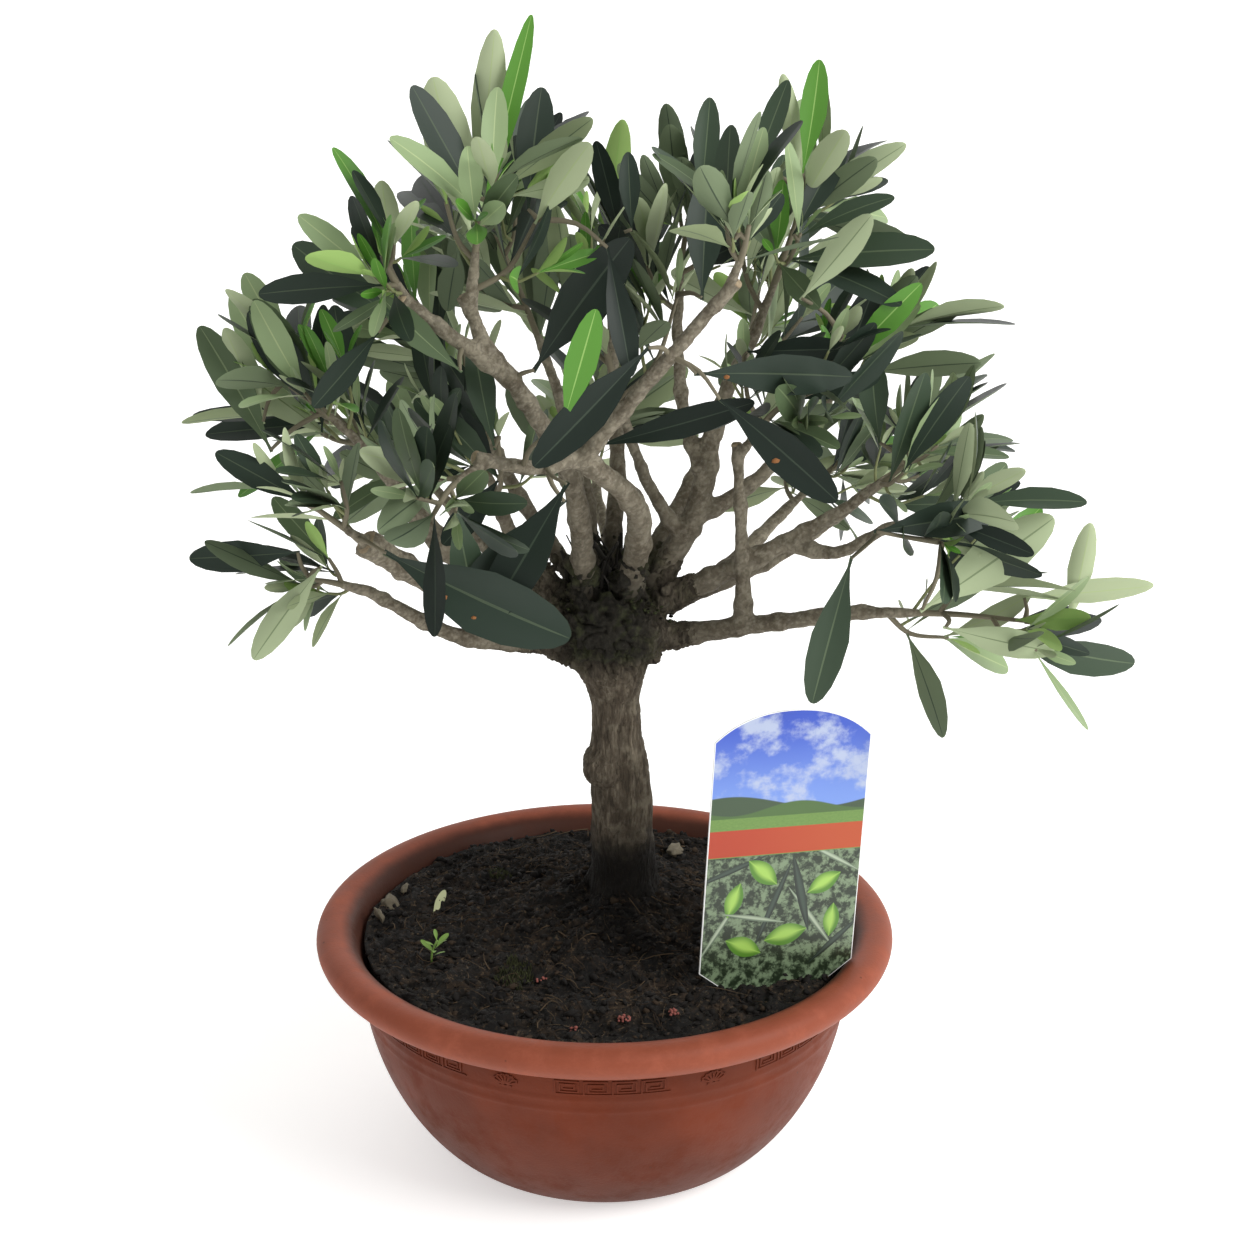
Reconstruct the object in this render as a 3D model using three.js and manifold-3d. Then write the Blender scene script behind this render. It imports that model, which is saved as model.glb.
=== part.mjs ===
// A small pollarded olive tree in a round terracotta-coloured bowl, with a picture card in the soil.
//
// Millimetres, +Z up. The origin is the centre of the bowl's flat underside, and -Y is the side
// that the card faces. The boughs grow out of the swollen head of the trunk or fork off another
// bough. Most carry one spray of leaves on the tip, and a spray keeps to its own cell of space.

import * as THREE from "three";
import { mergeVertices } from "three/addons/utils/BufferGeometryUtils.js";
import Module from "manifold-3d";

const wasm = await Module();
wasm.setup();

// ---------------------------------------------------------------- driving dimensions

const GAP = 0.3; // between pieces that touch
const SLIVER = 0.05; // joins leave no edge finer than this
const MERGE = 1e-3; // corners closer than this are one
const UP = new THREE.Vector3(0, 0, 1);

const POT = {
  baseRadius: 68.5,
  wallRadius: 115, // just under the lip
  lipBottom: 89,
  bulge: 0.58, // below 1 rounds the bowl out near its base
  wall: 3,
  floor: 4,
  segments: 32,
};

const SOIL = {
  edge: 102,
  widening: 1.6, // under the lip, past the wall's inner face
  seatRadius: 21,
  seat: 118.5,
  segments: 32,
  rings: 6,
  earlyRise: 0.3, // of the mound's rise, near the edge; the rest comes near the trunk
  waves: 8,
  lump: 1.6,
  lumpEase: 15, // from the edge, in which the lumps reach their full height
  seed: 11,
};

const TRUNK = {
  foot: new THREE.Vector3(8.6, 12, SOIL.seat + GAP),
  waist: new THREE.Vector3(8, 5, 165),
  knee: new THREE.Vector3(5.8, 1, 197),
  neck: new THREE.Vector3(4.8, 0, 222),
  top: new THREE.Vector3(2, 0, 248),
  footRadius: 15.2,
  waistRadius: 14.4,
  neckRadius: 10.9,
  topRadius: 24,
  waistAt: 0.4, // of the way up
  neckAt: 0.76,
  flare: 3.6, // the roots' swelling at the ground
  flareReach: 0.08, // of the way up, in which it falls to a third
  headSwell: 1.3, // above 1 keeps the widening close under the head
  lobes: 5,
  lobeDepth: 0.1, // of the radius, at the foot
  lobeFade: 9,
  lobeTurn: 0.7,
  cut: 8, // drawn this far below the ground, then cut off flat
  sides: 12,
  steps: 12,
};

const HEAD = {
  centre: new THREE.Vector3(1.8, 0, 254.5),
  halfWidth: 27,
  halfDepth: 25,
  halfHeight: 20.5,
  lumps: 16,
  lumpHeight: 0.17,
  lumpSpread: 0.38,
  lumpLimit: 1.2, // where lumps meet they add up to no more than this
  hollow: 0.06, // between the lumps
  detail: 4,
  seed: 5,
};

// Swellings on the sides of trunk and head: where, and how large.
const KNOTS = [
  { at: new THREE.Vector3(2.4, 0, 184), radius: 12.6 },
  { at: new THREE.Vector3(0, 1, 193), radius: 6.4 },
  { at: new THREE.Vector3(15.4, -3, 150), radius: 5 },
  { at: new THREE.Vector3(-14, -4, 245), radius: 11.5 },
  { at: new THREE.Vector3(17, -3, 243), radius: 10 },
];

const CARD = {
  width: 74,
  height: 118.5, // from its shoulders just over the soil to the top of the arch
  arch: 13,
  shoulder: 22,
  spikeWidth: 13,
  spike: 24,
  spikePoint: 0.55, // of the spike, above its tapering point
  archFullness: 0.62,
  slotDrop: 1.8, // how much further the slot reaches down than out
  thickness: 0.8,
  foot: new THREE.Vector3(76.2, -59.4, 111.8),
  turn: THREE.MathUtils.degToRad(20),
  recline: THREE.MathUtils.degToRad(2),
  lean: THREE.MathUtils.degToRad(4),
};

const BOUGH = { sides: 5, steps: 4 };

const point = (x, y, z) => new THREE.Vector3(x, y, z);

// name, the route from its seat through its middle to its tip, and the radius at each end
const BOUGHS = [
  ["bough_low_right", point(14, -2, 244), point(62, -14, 255), point(114, -28, 266), 5.6, 3.2],
  ["bough_upright", point(62, -14, 255), point(60, -12, 303), point(58, -10, 331), 4, 2.4],
  ["bough_right", point(16, 0, 258), point(68, -10, 286), point(103, -18, 308), 6.2, 3.2],
  ["bough_right_fork", point(80, -13, 293), point(100, -26, 292), point(121, -36, 306), 3.6, 2.4],
  ["bough_crown_right", point(14, 2, 260), point(41, 2, 304), point(48, 3, 341), 7.2, 4.2],
  ["bough_right_high", point(40, 2, 301), point(62, 6, 312), point(92, 6, 342), 4.2, 2.6],
  ["bough_right_top", point(48, 3, 338), point(55, 0, 360), point(66, -3, 385), 3.8, 2.6],
  ["bough_centre_right", point(43, 2, 322), point(35, 10, 348), point(32, 14, 384), 3.6, 2.4],
  ["bough_front_arch", point(10, -6, 262), point(14, -36, 314), point(-9, -55, 340), 6.4, 4.6],
  ["bough_front_stub", point(-9, -55, 340), point(-28, -66, 338), point(-46, -74, 343), 3.5, 3],
  ["bough_front_right", point(-8, -55, 340), point(18, -67, 373), point(49, -76, 410), 3.9, 2.7],
  ["bough_front_high", point(-8, -6, 258), point(-13, -36, 325), point(-36, -57, 372), 5.8, 3.8],
  ["bough_top_left", point(-36, -57, 371), point(-46, -62, 386), point(-52, -64, 402), 3.7, 3],
  ["bough_left_high", point(-37, -57, 372), point(-56, -68, 389), point(-74, -74, 404), 3.4, 3],
  ["bough_left", point(-10, -2, 256), point(-68, -22, 291), point(-97, -36, 338), 5.4, 2.8],
  ["bough_left_stub", point(-10, -4, 250), point(-66, -52, 283), point(-92, -72, 306), 5.2, 5.6],
  ["bough_low_left", point(-12, -4, 244), point(-62, -26, 254), point(-100, -44, 280), 4.8, 2.8],
  ["bough_left_inner", point(-10, -2, 262), point(-35, -8, 284), point(-44, -14, 306), 4.4, 3.2],
  ["bough_centre_left", point(36, 1, 290), point(20, -3, 316), point(9, -6, 346), 3.6, 2.4],
  ["bough_back_left", point(-4, 6, 262), point(-9, 20, 310), point(-22, 30, 356), 4.8, 2.8],
  ["bough_back_right", point(8, 8, 262), point(40, 44, 306), point(58, 70, 350), 5, 3],
  ["bough_back_top", point(0, 10, 260), point(6, 34, 312), point(4, 52, 362), 5, 3],
  ["bough_back_low", point(2, 8, 252), point(4, 58, 262), point(-4, 96, 288), 5, 3],
  ["bough_back_low_right", point(8, 6, 250), point(54, 46, 263), point(88, 78, 286), 5, 3],
  ["bough_back_low_left", point(-4, 6, 250), point(-46, 46, 266), point(-78, 76, 292), 5, 3],
  ["bough_right_rear", point(12, 4, 254), point(76, 22, 276), point(116, 30, 302), 5, 3],
  ["bough_left_rear", point(-8, 3, 254), point(-70, 20, 284), point(-100, 24, 318), 4.8, 2.8],
  ["bough_left_back_high", point(-6, 4, 260), point(-44, 34, 312), point(-60, 48, 346), 4.6, 2.8],
].map(([name, seat, middle, tip, seatRadius, tipRadius]) => {
  return { name, route: [seat, middle, tip], seatRadius, tipRadius };
});

const LEAF = {
  length: 62,
  breadth: 0.31, // of its length
  widest: 0.5,
  thickness: 0.02, // of its length
  rootDepth: 0.2, // past the twig's axis
  throat: 0.07, // of its length, from the root, that may lie against other leaves' roots
  clearance: 2.2, // from a limb's surface to the blade's midrib or edges
  lift: 0.35, // how much the leaves turn upwards
  stray: 0.9, // how far a leaf may stray round its twig, in radians, at the first attempt
  tries: 12,
  pairAt: 0.85, // of a pair's own stretch of twig
  last: 0.985, // of the twig, past which no pair grows
  spreadLow: 0.62, // of a right angle from the twig, near its root
  spreadTip: 0.34,
  smallerAtTip: 0.22,
};

const TWIG = {
  sides: 3,
  steps: 2,
  stemRadius: 1.9,
  tipRadius: 0.9,
  pairSpacing: 33,
  cellMargin: 0.35,
  tries: 8,
  stemBend: 0.1, // of a stem's length, along its bough's heading
};

const SHOOT = {
  first: 0.14, // of the stem
  span: 0.66, // of the stem, over which the shoots are shared out
  length: 0.62, // of the stem's length, near its root
  shorterAtTip: 0.3,
  bend: 0.36,
  reach: 0.66, // of its length, forwards and sideways
  rise: 0.16,
  margin: 2.5, // from the walls of the cell
  clearance: 2, // from other limbs
};

const GOLDEN_ANGLE = THREE.MathUtils.degToRad(137.5);

// name, the bough that bears it, the tip of its stem, how many side shoots, leaf size, seed
const SPRAYS = [
  ["spray_low_right", "bough_low_right", point(180, -42, 266), 3, 0.95, 21],
  ["spray_right_inner", "bough_upright", point(90, -50, 368), 4, 0.9, 22],
  ["spray_right", "bough_right", point(136, -28, 338), 3, 0.95, 23],
  ["spray_right_front", "bough_right_fork", point(142, -66, 316), 3, 0.9, 24],
  ["spray_right_high", "bough_right_high", point(117, 6, 386), 3, 0.95, 25],
  ["spray_top_right", "bough_right_top", point(84, -10, 442), 3, 0.95, 26],
  ["spray_top_middle", "bough_centre_right", point(37, 18, 432), 3, 0.95, 27],
  ["spray_front_right", "bough_front_right", point(56, -86, 436), 3, 0.9, 28],
  ["spray_front", "bough_front_stub", point(-66, -102, 326), 4, 0.9, 29],
  ["spray_top_left", "bough_top_left", point(-40, -66, 454), 4, 0.95, 30],
  ["spray_left_high", "bough_left_high", point(-84, -80, 424), 3, 0.8, 31],
  ["spray_left", "bough_left", point(-130, -48, 370), 3, 0.9, 32],
  ["spray_left_front", "bough_left_stub", point(-117, -88, 330), 3, 0.9, 33],
  ["spray_low_left", "bough_low_left", point(-122, -54, 288), 3, 0.85, 34],
  ["spray_left_inner", "bough_left_inner", point(-62, -22, 372), 4, 0.85, 35],
  ["spray_centre", "bough_centre_left", point(-6, -24, 416), 4, 0.9, 36],
  ["spray_back_left", "bough_back_left", point(-50, 36, 426), 3, 1, 37],
  ["spray_back_right", "bough_back_right", point(84, 84, 400), 3, 1, 38],
  ["spray_back_top", "bough_back_top", point(0, 76, 418), 3, 1, 39],
  ["spray_back_low", "bough_back_low", point(-8, 136, 322), 3, 1, 40],
  ["spray_back_low_right", "bough_back_low_right", point(120, 110, 306), 3, 1, 41],
  ["spray_back_low_left", "bough_back_low_left", point(-110, 106, 318), 3, 1, 42],
  ["spray_right_rear", "bough_right_rear", point(146, 38, 324), 3, 0.95, 43],
  ["spray_left_rear", "bough_left_rear", point(-122, 24, 345), 3, 0.95, 54],
  ["spray_left_back_high", "bough_left_back_high", point(-90, 60, 394), 3, 0.95, 45],
].map(([name, bough, tip, shoots, leafSize, seed]) => {
  return { name, bough, tip, shoots, leafSize, seed };
});

// ---------------------------------------------------------------- materials

const FINISH = {
  pot: { color: 0xa9533b, roughness: 0.62 },
  soil: { color: 0x2a1d17, roughness: 0.95 },
  card: { color: 0x8fb3dc, roughness: 0.35 },
  bark: { color: 0x7d6d5c, roughness: 0.9 },
  twig: { color: 0x8f8872, roughness: 0.85 },
  leaf: { color: 0x4d6652, roughness: 0.55 },
};

function finish(kind) {
  return new THREE.MeshStandardMaterial({ ...FINISH[kind], metalness: 0 });
}

// ---------------------------------------------------------------- solids

/** Repeatable random numbers from 0 to 1 (mulberry32), so that the tree grows the same each time. */
function seededRandom(seed) {
  let state = seed >>> 0;
  return () => {
    state = (state + 0x6d2b79f5) >>> 0;
    let mixed = Math.imul(state ^ (state >>> 15), state | 1);
    mixed ^= mixed + Math.imul(mixed ^ (mixed >>> 7), mixed | 61);
    return ((mixed ^ (mixed >>> 14)) >>> 0) / 4294967296;
  };
}

function toSolid(geometry) {
  const bare = geometry.clone();
  bare.deleteAttribute("normal");
  bare.deleteAttribute("uv");
  const merged = mergeVertices(bare, MERGE);
  const vertProperties = new Float32Array(merged.getAttribute("position").array);
  const triVerts = new Uint32Array(merged.getIndex().array);
  return new wasm.Manifold(new wasm.Mesh({ numProp: 3, vertProperties, triVerts }));
}

function toGeometry(solid) {
  const { vertProperties, triVerts } = solid.getMesh();
  const geometry = new THREE.BufferGeometry();
  geometry.setAttribute("position", new THREE.BufferAttribute(vertProperties, 3));
  geometry.setIndex(new THREE.BufferAttribute(triVerts, 1));
  geometry.computeVertexNormals();
  return geometry;
}

/** The largest connected piece: loose scraps are dropped, and sealed hollows are filled. */
function mainPiece(solid) {
  const pieces = toSolid(toGeometry(solid.simplify(SLIVER))).decompose();
  return pieces.reduce((best, piece) => (piece.volume() > best.volume() ? piece : best));
}

/** Whether each edge joins just two faces once corners that all but touch are merged. */
function closesCleanly(solid) {
  const merged = mergeVertices(toGeometry(solid).deleteAttribute("normal"), MERGE);
  const corners = merged.getIndex().array;
  const count = merged.getAttribute("position").count;
  const edges = new Set();
  for (let face = 0; face < corners.length; face += 3) {
    const [a, b, c] = corners.slice(face, face + 3);
    if (a !== b && b !== c && c !== a) {
      for (const edge of [a * count + b, b * count + c, c * count + a]) {
        if (edges.has(edge)) {
          return false;
        }
        edges.add(edge);
      }
    }
  }
  return true;
}

/** A round limb along a smooth curve, with a radius that changes along it; it may overrun its tip. */
function limbGeometry(curve, radiusAt, sides, steps, { lobeAt = () => 1, overrun = 0 } = {}) {
  const frames = curve.computeFrenetFrames(steps, false);
  const geometry = new THREE.CylinderGeometry(1, 1, 1, sides, steps);
  const places = geometry.getAttribute("position");
  const vertex = new THREE.Vector3();
  for (let i = 0; i < places.count; i += 1) {
    vertex.fromBufferAttribute(places, i);
    const along = vertex.y + 0.5;
    const ring = Math.round(along * steps);
    const radius = radiusAt(along) * lobeAt(along, Math.atan2(vertex.z, vertex.x));
    const centre = curve.getPointAt(along);
    centre.addScaledVector(frames.tangents[ring], ring === steps ? overrun : 0);
    centre.addScaledVector(frames.normals[ring], vertex.x * radius);
    centre.addScaledVector(frames.binormals[ring], -vertex.z * radius);
    places.setXYZ(i, centre.x, centre.y, centre.z);
  }
  return geometry;
}

// ---------------------------------------------------------------- pot, soil and card

/** The bowl's outer radius at a height under the lip. */
function wallRadiusAt(height) {
  const rise = Math.sin((height / POT.lipBottom) * (Math.PI / 2));
  return POT.baseRadius + (POT.wallRadius - POT.baseRadius) * rise ** POT.bulge;
}

/** Points up the bowl's side, closer together near its rounded base, `inset` inside its face. */
function wallProfile(from, inset, count) {
  const profile = [];
  for (let i = 0; i <= count; i += 1) {
    const height = from + (POT.lipBottom - from) * (i / count) ** 1.8;
    profile.push(new THREE.Vector2(wallRadiusAt(height) - inset, height));
  }
  return profile;
}

// The lip's section, from under its roll over the top to the inside: radius, height.
const LIP = [
  [116.6, 90.6],
  [120.2, 92.9],
  [126.5, 95],
  [131.8, 98],
  [134.6, 102],
  [134.8, 105.5],
  [132.6, 109],
  [129, 110.5],
  [124, 110],
  [118.6, 107],
  [115.6, 101.5],
];

function potGeometry() {
  const lip = LIP.map(([radius, height]) => new THREE.Vector2(radius, height));
  const inside = wallProfile(POT.floor, POT.wall, 5).reverse();
  const outside = wallProfile(0, 0, 7);
  const profile = [new THREE.Vector2(0, 0), ...outside, ...lip, ...inside, new THREE.Vector2(0, POT.floor)];
  return new THREE.LatheGeometry(profile, POT.segments).rotateX(Math.PI / 2);
}

/** The soil fills the bowl and rises in a mound to a flat seat under the trunk. */
function soilGeometry() {
  const random = seededRandom(SOIL.seed);
  const side = wallProfile(POT.floor + GAP, POT.wall + 2 * GAP, 5);
  const edge = side[side.length - 1].x + SOIL.widening;
  const profile = [new THREE.Vector2(0, POT.floor + GAP), ...side, new THREE.Vector2(edge, SOIL.edge)];
  for (let i = 1; i <= SOIL.rings; i += 1) {
    const inward = i / SOIL.rings;
    const radius = THREE.MathUtils.lerp(edge, SOIL.seatRadius, inward);
    const rise = SOIL.earlyRise * inward ** 0.5 + (1 - SOIL.earlyRise) * inward ** 2.6;
    const height = SOIL.edge + (SOIL.seat - SOIL.edge) * rise;
    profile.push(new THREE.Vector2(radius, height));
  }
  profile.push(new THREE.Vector2(0, SOIL.seat));
  const geometry = new THREE.LatheGeometry(profile, SOIL.segments).rotateX(Math.PI / 2);
  const places = geometry.getAttribute("position");
  const waves = Array.from({ length: SOIL.waves }, () => {
    const turn = random() * 2 * Math.PI;
    const pace = 0.05 + 0.07 * random();
    return { x: Math.cos(turn) * pace, y: Math.sin(turn) * pace, phase: random() * 2 * Math.PI };
  });
  for (let i = 0; i < places.count; i += 1) {
    const x = places.getX(i);
    const y = places.getY(i);
    const radius = Math.hypot(x, y);
    const top = places.getZ(i) > POT.lipBottom + 1;
    const inner = top ? 1 - radius / edge : 0;
    const ease = top && radius > SOIL.seatRadius + 1 ? Math.min(1, (edge - radius) / SOIL.lumpEase) : 0;
    const lump = waves.reduce((sum, w) => sum + Math.sin(w.x * x + w.y * y + w.phase), 0);
    const shiftX = TRUNK.foot.x * inner;
    const shiftY = TRUNK.foot.y * inner;
    places.setXYZ(i, x + shiftX, y + shiftY, places.getZ(i) + SOIL.lump * 0.5 * ease * lump);
  }
  return geometry;
}

/** The card with its arched top, tapering at the shoulders to a spike; `grow` makes its slot. */
function cardGeometry(grow = 0) {
  const half = CARD.width / 2 + grow;
  const spike = CARD.spikeWidth / 2 + grow;
  const side = CARD.height - CARD.arch;
  const drop = grow * CARD.slotDrop;
  const outline = new THREE.Shape();
  outline.moveTo(0, -CARD.shoulder - CARD.spike - grow * 2);
  outline.lineTo(spike, -CARD.shoulder - CARD.spike * CARD.spikePoint);
  outline.lineTo(spike, -CARD.shoulder - drop);
  outline.lineTo(half, -drop);
  outline.lineTo(half, side);
  outline.quadraticCurveTo(half * CARD.archFullness, CARD.height + grow, 0, CARD.height + grow);
  outline.quadraticCurveTo(-half * CARD.archFullness, CARD.height + grow, -half, side);
  outline.lineTo(-half, -drop);
  outline.lineTo(-spike, -CARD.shoulder - drop);
  outline.lineTo(-spike, -CARD.shoulder - CARD.spike * CARD.spikePoint);
  outline.closePath();
  const depth = CARD.thickness + 2 * grow;
  const settings = { depth, bevelEnabled: false, curveSegments: 6 };
  const geometry = new THREE.ExtrudeGeometry(outline, settings);
  return geometry.translate(0, 0, -depth / 2).rotateX(Math.PI / 2);
}

function placeCard(geometry) {
  const stance = new THREE.Matrix4().makeRotationFromEuler(
    new THREE.Euler(-CARD.recline, CARD.lean, CARD.turn, "ZXY"),
  );
  return geometry.applyMatrix4(stance).translate(CARD.foot.x, CARD.foot.y, CARD.foot.z);
}

// ---------------------------------------------------------------- trunk and boughs

/** The trunk's radius along its height, with its root flare and the widening into its head. */
function trunkRadiusAt(along) {
  const { footRadius, waistRadius, neckRadius, topRadius, waistAt, neckAt } = TRUNK;
  if (along < waistAt) {
    const flare = TRUNK.flare * Math.exp(-along / TRUNK.flareReach);
    return THREE.MathUtils.lerp(footRadius, waistRadius, along / waistAt) + flare;
  }
  if (along < neckAt) {
    return THREE.MathUtils.lerp(waistRadius, neckRadius, (along - waistAt) / (neckAt - waistAt));
  }
  return THREE.MathUtils.lerp(neckRadius, topRadius, ((along - neckAt) / (1 - neckAt)) ** TRUNK.headSwell);
}

/** Ridges that run down into the roots, and die out above them. */
function trunkLobeAt(along, angle) {
  const fade = Math.exp(-along * TRUNK.lobeFade);
  return 1 + TRUNK.lobeDepth * fade * Math.cos(angle * TRUNK.lobes + TRUNK.lobeTurn);
}

/** The pollard head: a flattened ball covered in seeded lumps, where boughs were cut and regrew. */
function headGeometry(grow = 0) {
  const random = seededRandom(HEAD.seed);
  const lumps = Array.from({ length: HEAD.lumps }, () => {
    const turn = random() * 2 * Math.PI;
    const rise = random() * 1.5 - 0.75;
    const level = Math.sqrt(1 - rise * rise);
    return new THREE.Vector3(Math.cos(turn) * level, Math.sin(turn) * level, rise);
  });
  const ball = mergeVertices(new THREE.IcosahedronGeometry(1, HEAD.detail).deleteAttribute("uv")
    .deleteAttribute("normal"), MERGE);
  const places = ball.getAttribute("position");
  const vertex = new THREE.Vector3();
  for (let i = 0; i < places.count; i += 1) {
    vertex.fromBufferAttribute(places, i).normalize();
    const swelling = lumps.reduce((sum, lump) => {
      const angle = vertex.angleTo(lump);
      return sum + Math.exp(-((angle / HEAD.lumpSpread) ** 2));
    }, 0);
    const reach = 1 + HEAD.lumpHeight * Math.min(HEAD.lumpLimit, swelling) - HEAD.hollow;
    vertex.multiplyScalar(reach);
    vertex.multiply(point(HEAD.halfWidth + grow, HEAD.halfDepth + grow, HEAD.halfHeight + grow));
    vertex.add(HEAD.centre);
    places.setXYZ(i, vertex.x, vertex.y, vertex.z);
  }
  return ball;
}

/** Trunk, head and knots in one solid, cut flat at the ground; `grow` makes it a little larger. */
function trunkSolid(grow = 0) {
  const buried = TRUNK.foot.clone().setZ(TRUNK.foot.z - TRUNK.cut);
  const route = [buried, TRUNK.foot, TRUNK.waist, TRUNK.knee, TRUNK.neck, TRUNK.top];
  const curve = new THREE.CatmullRomCurve3(route);
  const radiusAt = (along) => trunkRadiusAt(along) + grow;
  const stem = limbGeometry(curve, radiusAt, TRUNK.sides, TRUNK.steps, { lobeAt: trunkLobeAt });
  let solid = toSolid(stem).add(toSolid(headGeometry(grow)));
  for (const knot of KNOTS) {
    const ball = new THREE.IcosahedronGeometry(knot.radius + grow, 1);
    solid = solid.add(toSolid(ball.translate(knot.at.x, knot.at.y, knot.at.z)));
  }
  return solid.trimByPlane([0, 0, 1], TRUNK.foot.z);
}

/** A bough as a solid; `grow` makes it that much thicker, and longer at its tip. */
function boughSolid(bough, grow = 0) {
  const curve = new THREE.CatmullRomCurve3(bough.route);
  const radiusAt = (along) => THREE.MathUtils.lerp(bough.seatRadius, bough.tipRadius, along) + grow;
  return toSolid(limbGeometry(curve, radiusAt, BOUGH.sides, BOUGH.steps, { overrun: grow }));
}

/** Straight stretches that stand for a bough when twigs and leaves are kept clear of it. */
function boughStretches(bough) {
  const curve = new THREE.CatmullRomCurve3(bough.route);
  const stops = curve.getSpacedPoints(BOUGH.steps);
  return stops.slice(1).map((to, i) => {
    const radius = THREE.MathUtils.lerp(bough.seatRadius, bough.tipRadius, i / BOUGH.steps);
    return { name: bough.name, from: stops[i], to, radius };
  });
}

// ---------------------------------------------------------------- sprays of leaves

/** The shortest distance between two straight stretches. */
function stretchDistance(a, b, c, d) {
  const u = b.clone().sub(a);
  const v = d.clone().sub(c);
  const w = a.clone().sub(c);
  const uu = u.dot(u);
  const uv = u.dot(v);
  const vv = v.dot(v);
  const uw = u.dot(w);
  const vw = v.dot(w);
  const denominator = uu * vv - uv * uv;
  let s = denominator > 1e-9 ? (uv * vw - vv * uw) / denominator : 0;
  s = THREE.MathUtils.clamp(s, 0, 1);
  let t = (uv * s + vw) / vv;
  if (t < 0 || t > 1) {
    t = THREE.MathUtils.clamp(t, 0, 1);
    s = THREE.MathUtils.clamp((uv * t - uw) / uu, 0, 1);
  }
  return w.addScaledVector(u, s).addScaledVector(v, -t).length();
}

/** Any direction square to the given one, turned round it by an angle. */
function squareTo(direction, angle) {
  const helper = Math.abs(direction.z) < 0.9 ? UP : new THREE.Vector3(1, 0, 0);
  const side = new THREE.Vector3().crossVectors(direction, helper).normalize();
  return side.applyAxisAngle(direction, angle);
}

/** The blade's corners: root, left, tip, right, upper and lower middle. */
function leafCorners(leaf) {
  const { root, direction, face, length } = leaf;
  const across = new THREE.Vector3().crossVectors(face, direction).normalize();
  const middle = root.clone().addScaledVector(direction, length * LEAF.widest);
  const halfWidth = length * LEAF.breadth * 0.5;
  const halfThick = length * LEAF.thickness * 0.5;
  return [
    root.clone().addScaledVector(direction, -LEAF.rootDepth),
    middle.clone().addScaledVector(across, -halfWidth),
    root.clone().addScaledVector(direction, length),
    middle.clone().addScaledVector(across, halfWidth),
    middle.clone().addScaledVector(face, halfThick),
    middle.clone().addScaledVector(face, -halfThick),
  ];
}

function leafSolid(leaf) {
  const corners = leafCorners(leaf);
  const geometry = new THREE.BufferGeometry().setFromPoints(corners);
  const faces = [];
  for (let i = 0; i < 4; i += 1) {
    const next = (i + 1) % 4;
    faces.push(i, next, 4, next, i, 5);
  }
  geometry.setIndex(faces);
  return toSolid(geometry);
}

function twigSolid(twig) {
  const curve = new THREE.CatmullRomCurve3(twig.route);
  const radiusAt = (along) => THREE.MathUtils.lerp(twig.fromRadius, twig.toRadius, along);
  return toSolid(limbGeometry(curve, radiusAt, TWIG.sides, TWIG.steps));
}

/** Straight stretches that stand for a twig when leaves are kept clear of it. */
function twigStretches(twig) {
  const stops = new THREE.CatmullRomCurve3(twig.route).getSpacedPoints(TWIG.steps);
  return stops.slice(1).map((to, i) => ({ from: stops[i], to, radius: twig.toRadius }));
}

/** Whether a straight stretch passes through a triangle. */
function pierces(from, to, triangle) {
  const [a, b, c] = triangle;
  const reach = to.clone().sub(from);
  const ray = new THREE.Ray(from, reach.clone().normalize());
  const hit = ray.intersectTriangle(a, b, c, false, new THREE.Vector3());
  return hit !== null && hit.distanceTo(from) <= reach.length();
}

/** Whether two blades cross, leaving out their roots, which may share a twig. */
function bladesCross(one, other) {
  const sheets = [one, other].map((leaf) => {
    const [root, left, tip, right] = leafCorners(leaf);
    const throat = root.clone().lerp(tip, LEAF.throat);
    const edges = [[throat, left], [left, tip], [tip, right], [right, throat]];
    return { edges, halves: [[throat, left, tip], [throat, tip, right]] };
  });
  const through = (edges, halves) => edges.some(([a, b]) => halves.some((half) => pierces(a, b, half)));
  return through(sheets[0].edges, sheets[1].halves) || through(sheets[1].edges, sheets[0].halves);
}

/** How far a point lies inside a spray's cell: the least distance to the planes between cells. */
function depthInCell(place, own, cells) {
  return cells.reduce((least, cell) => {
    if (cell === own) {
      return least;
    }
    const ownPull = place.distanceToSquared(own.centre) - own.reach ** 2;
    const otherPull = place.distanceToSquared(cell.centre) - cell.reach ** 2;
    return Math.min(least, (otherPull - ownPull) / (2 * own.centre.distanceTo(cell.centre)));
  }, Infinity);
}

function clearOfLimbs(from, to, clearance, limbs) {
  return limbs.every((limb) => {
    return stretchDistance(from, to, limb.from, limb.to) > limb.radius + clearance;
  });
}

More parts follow.
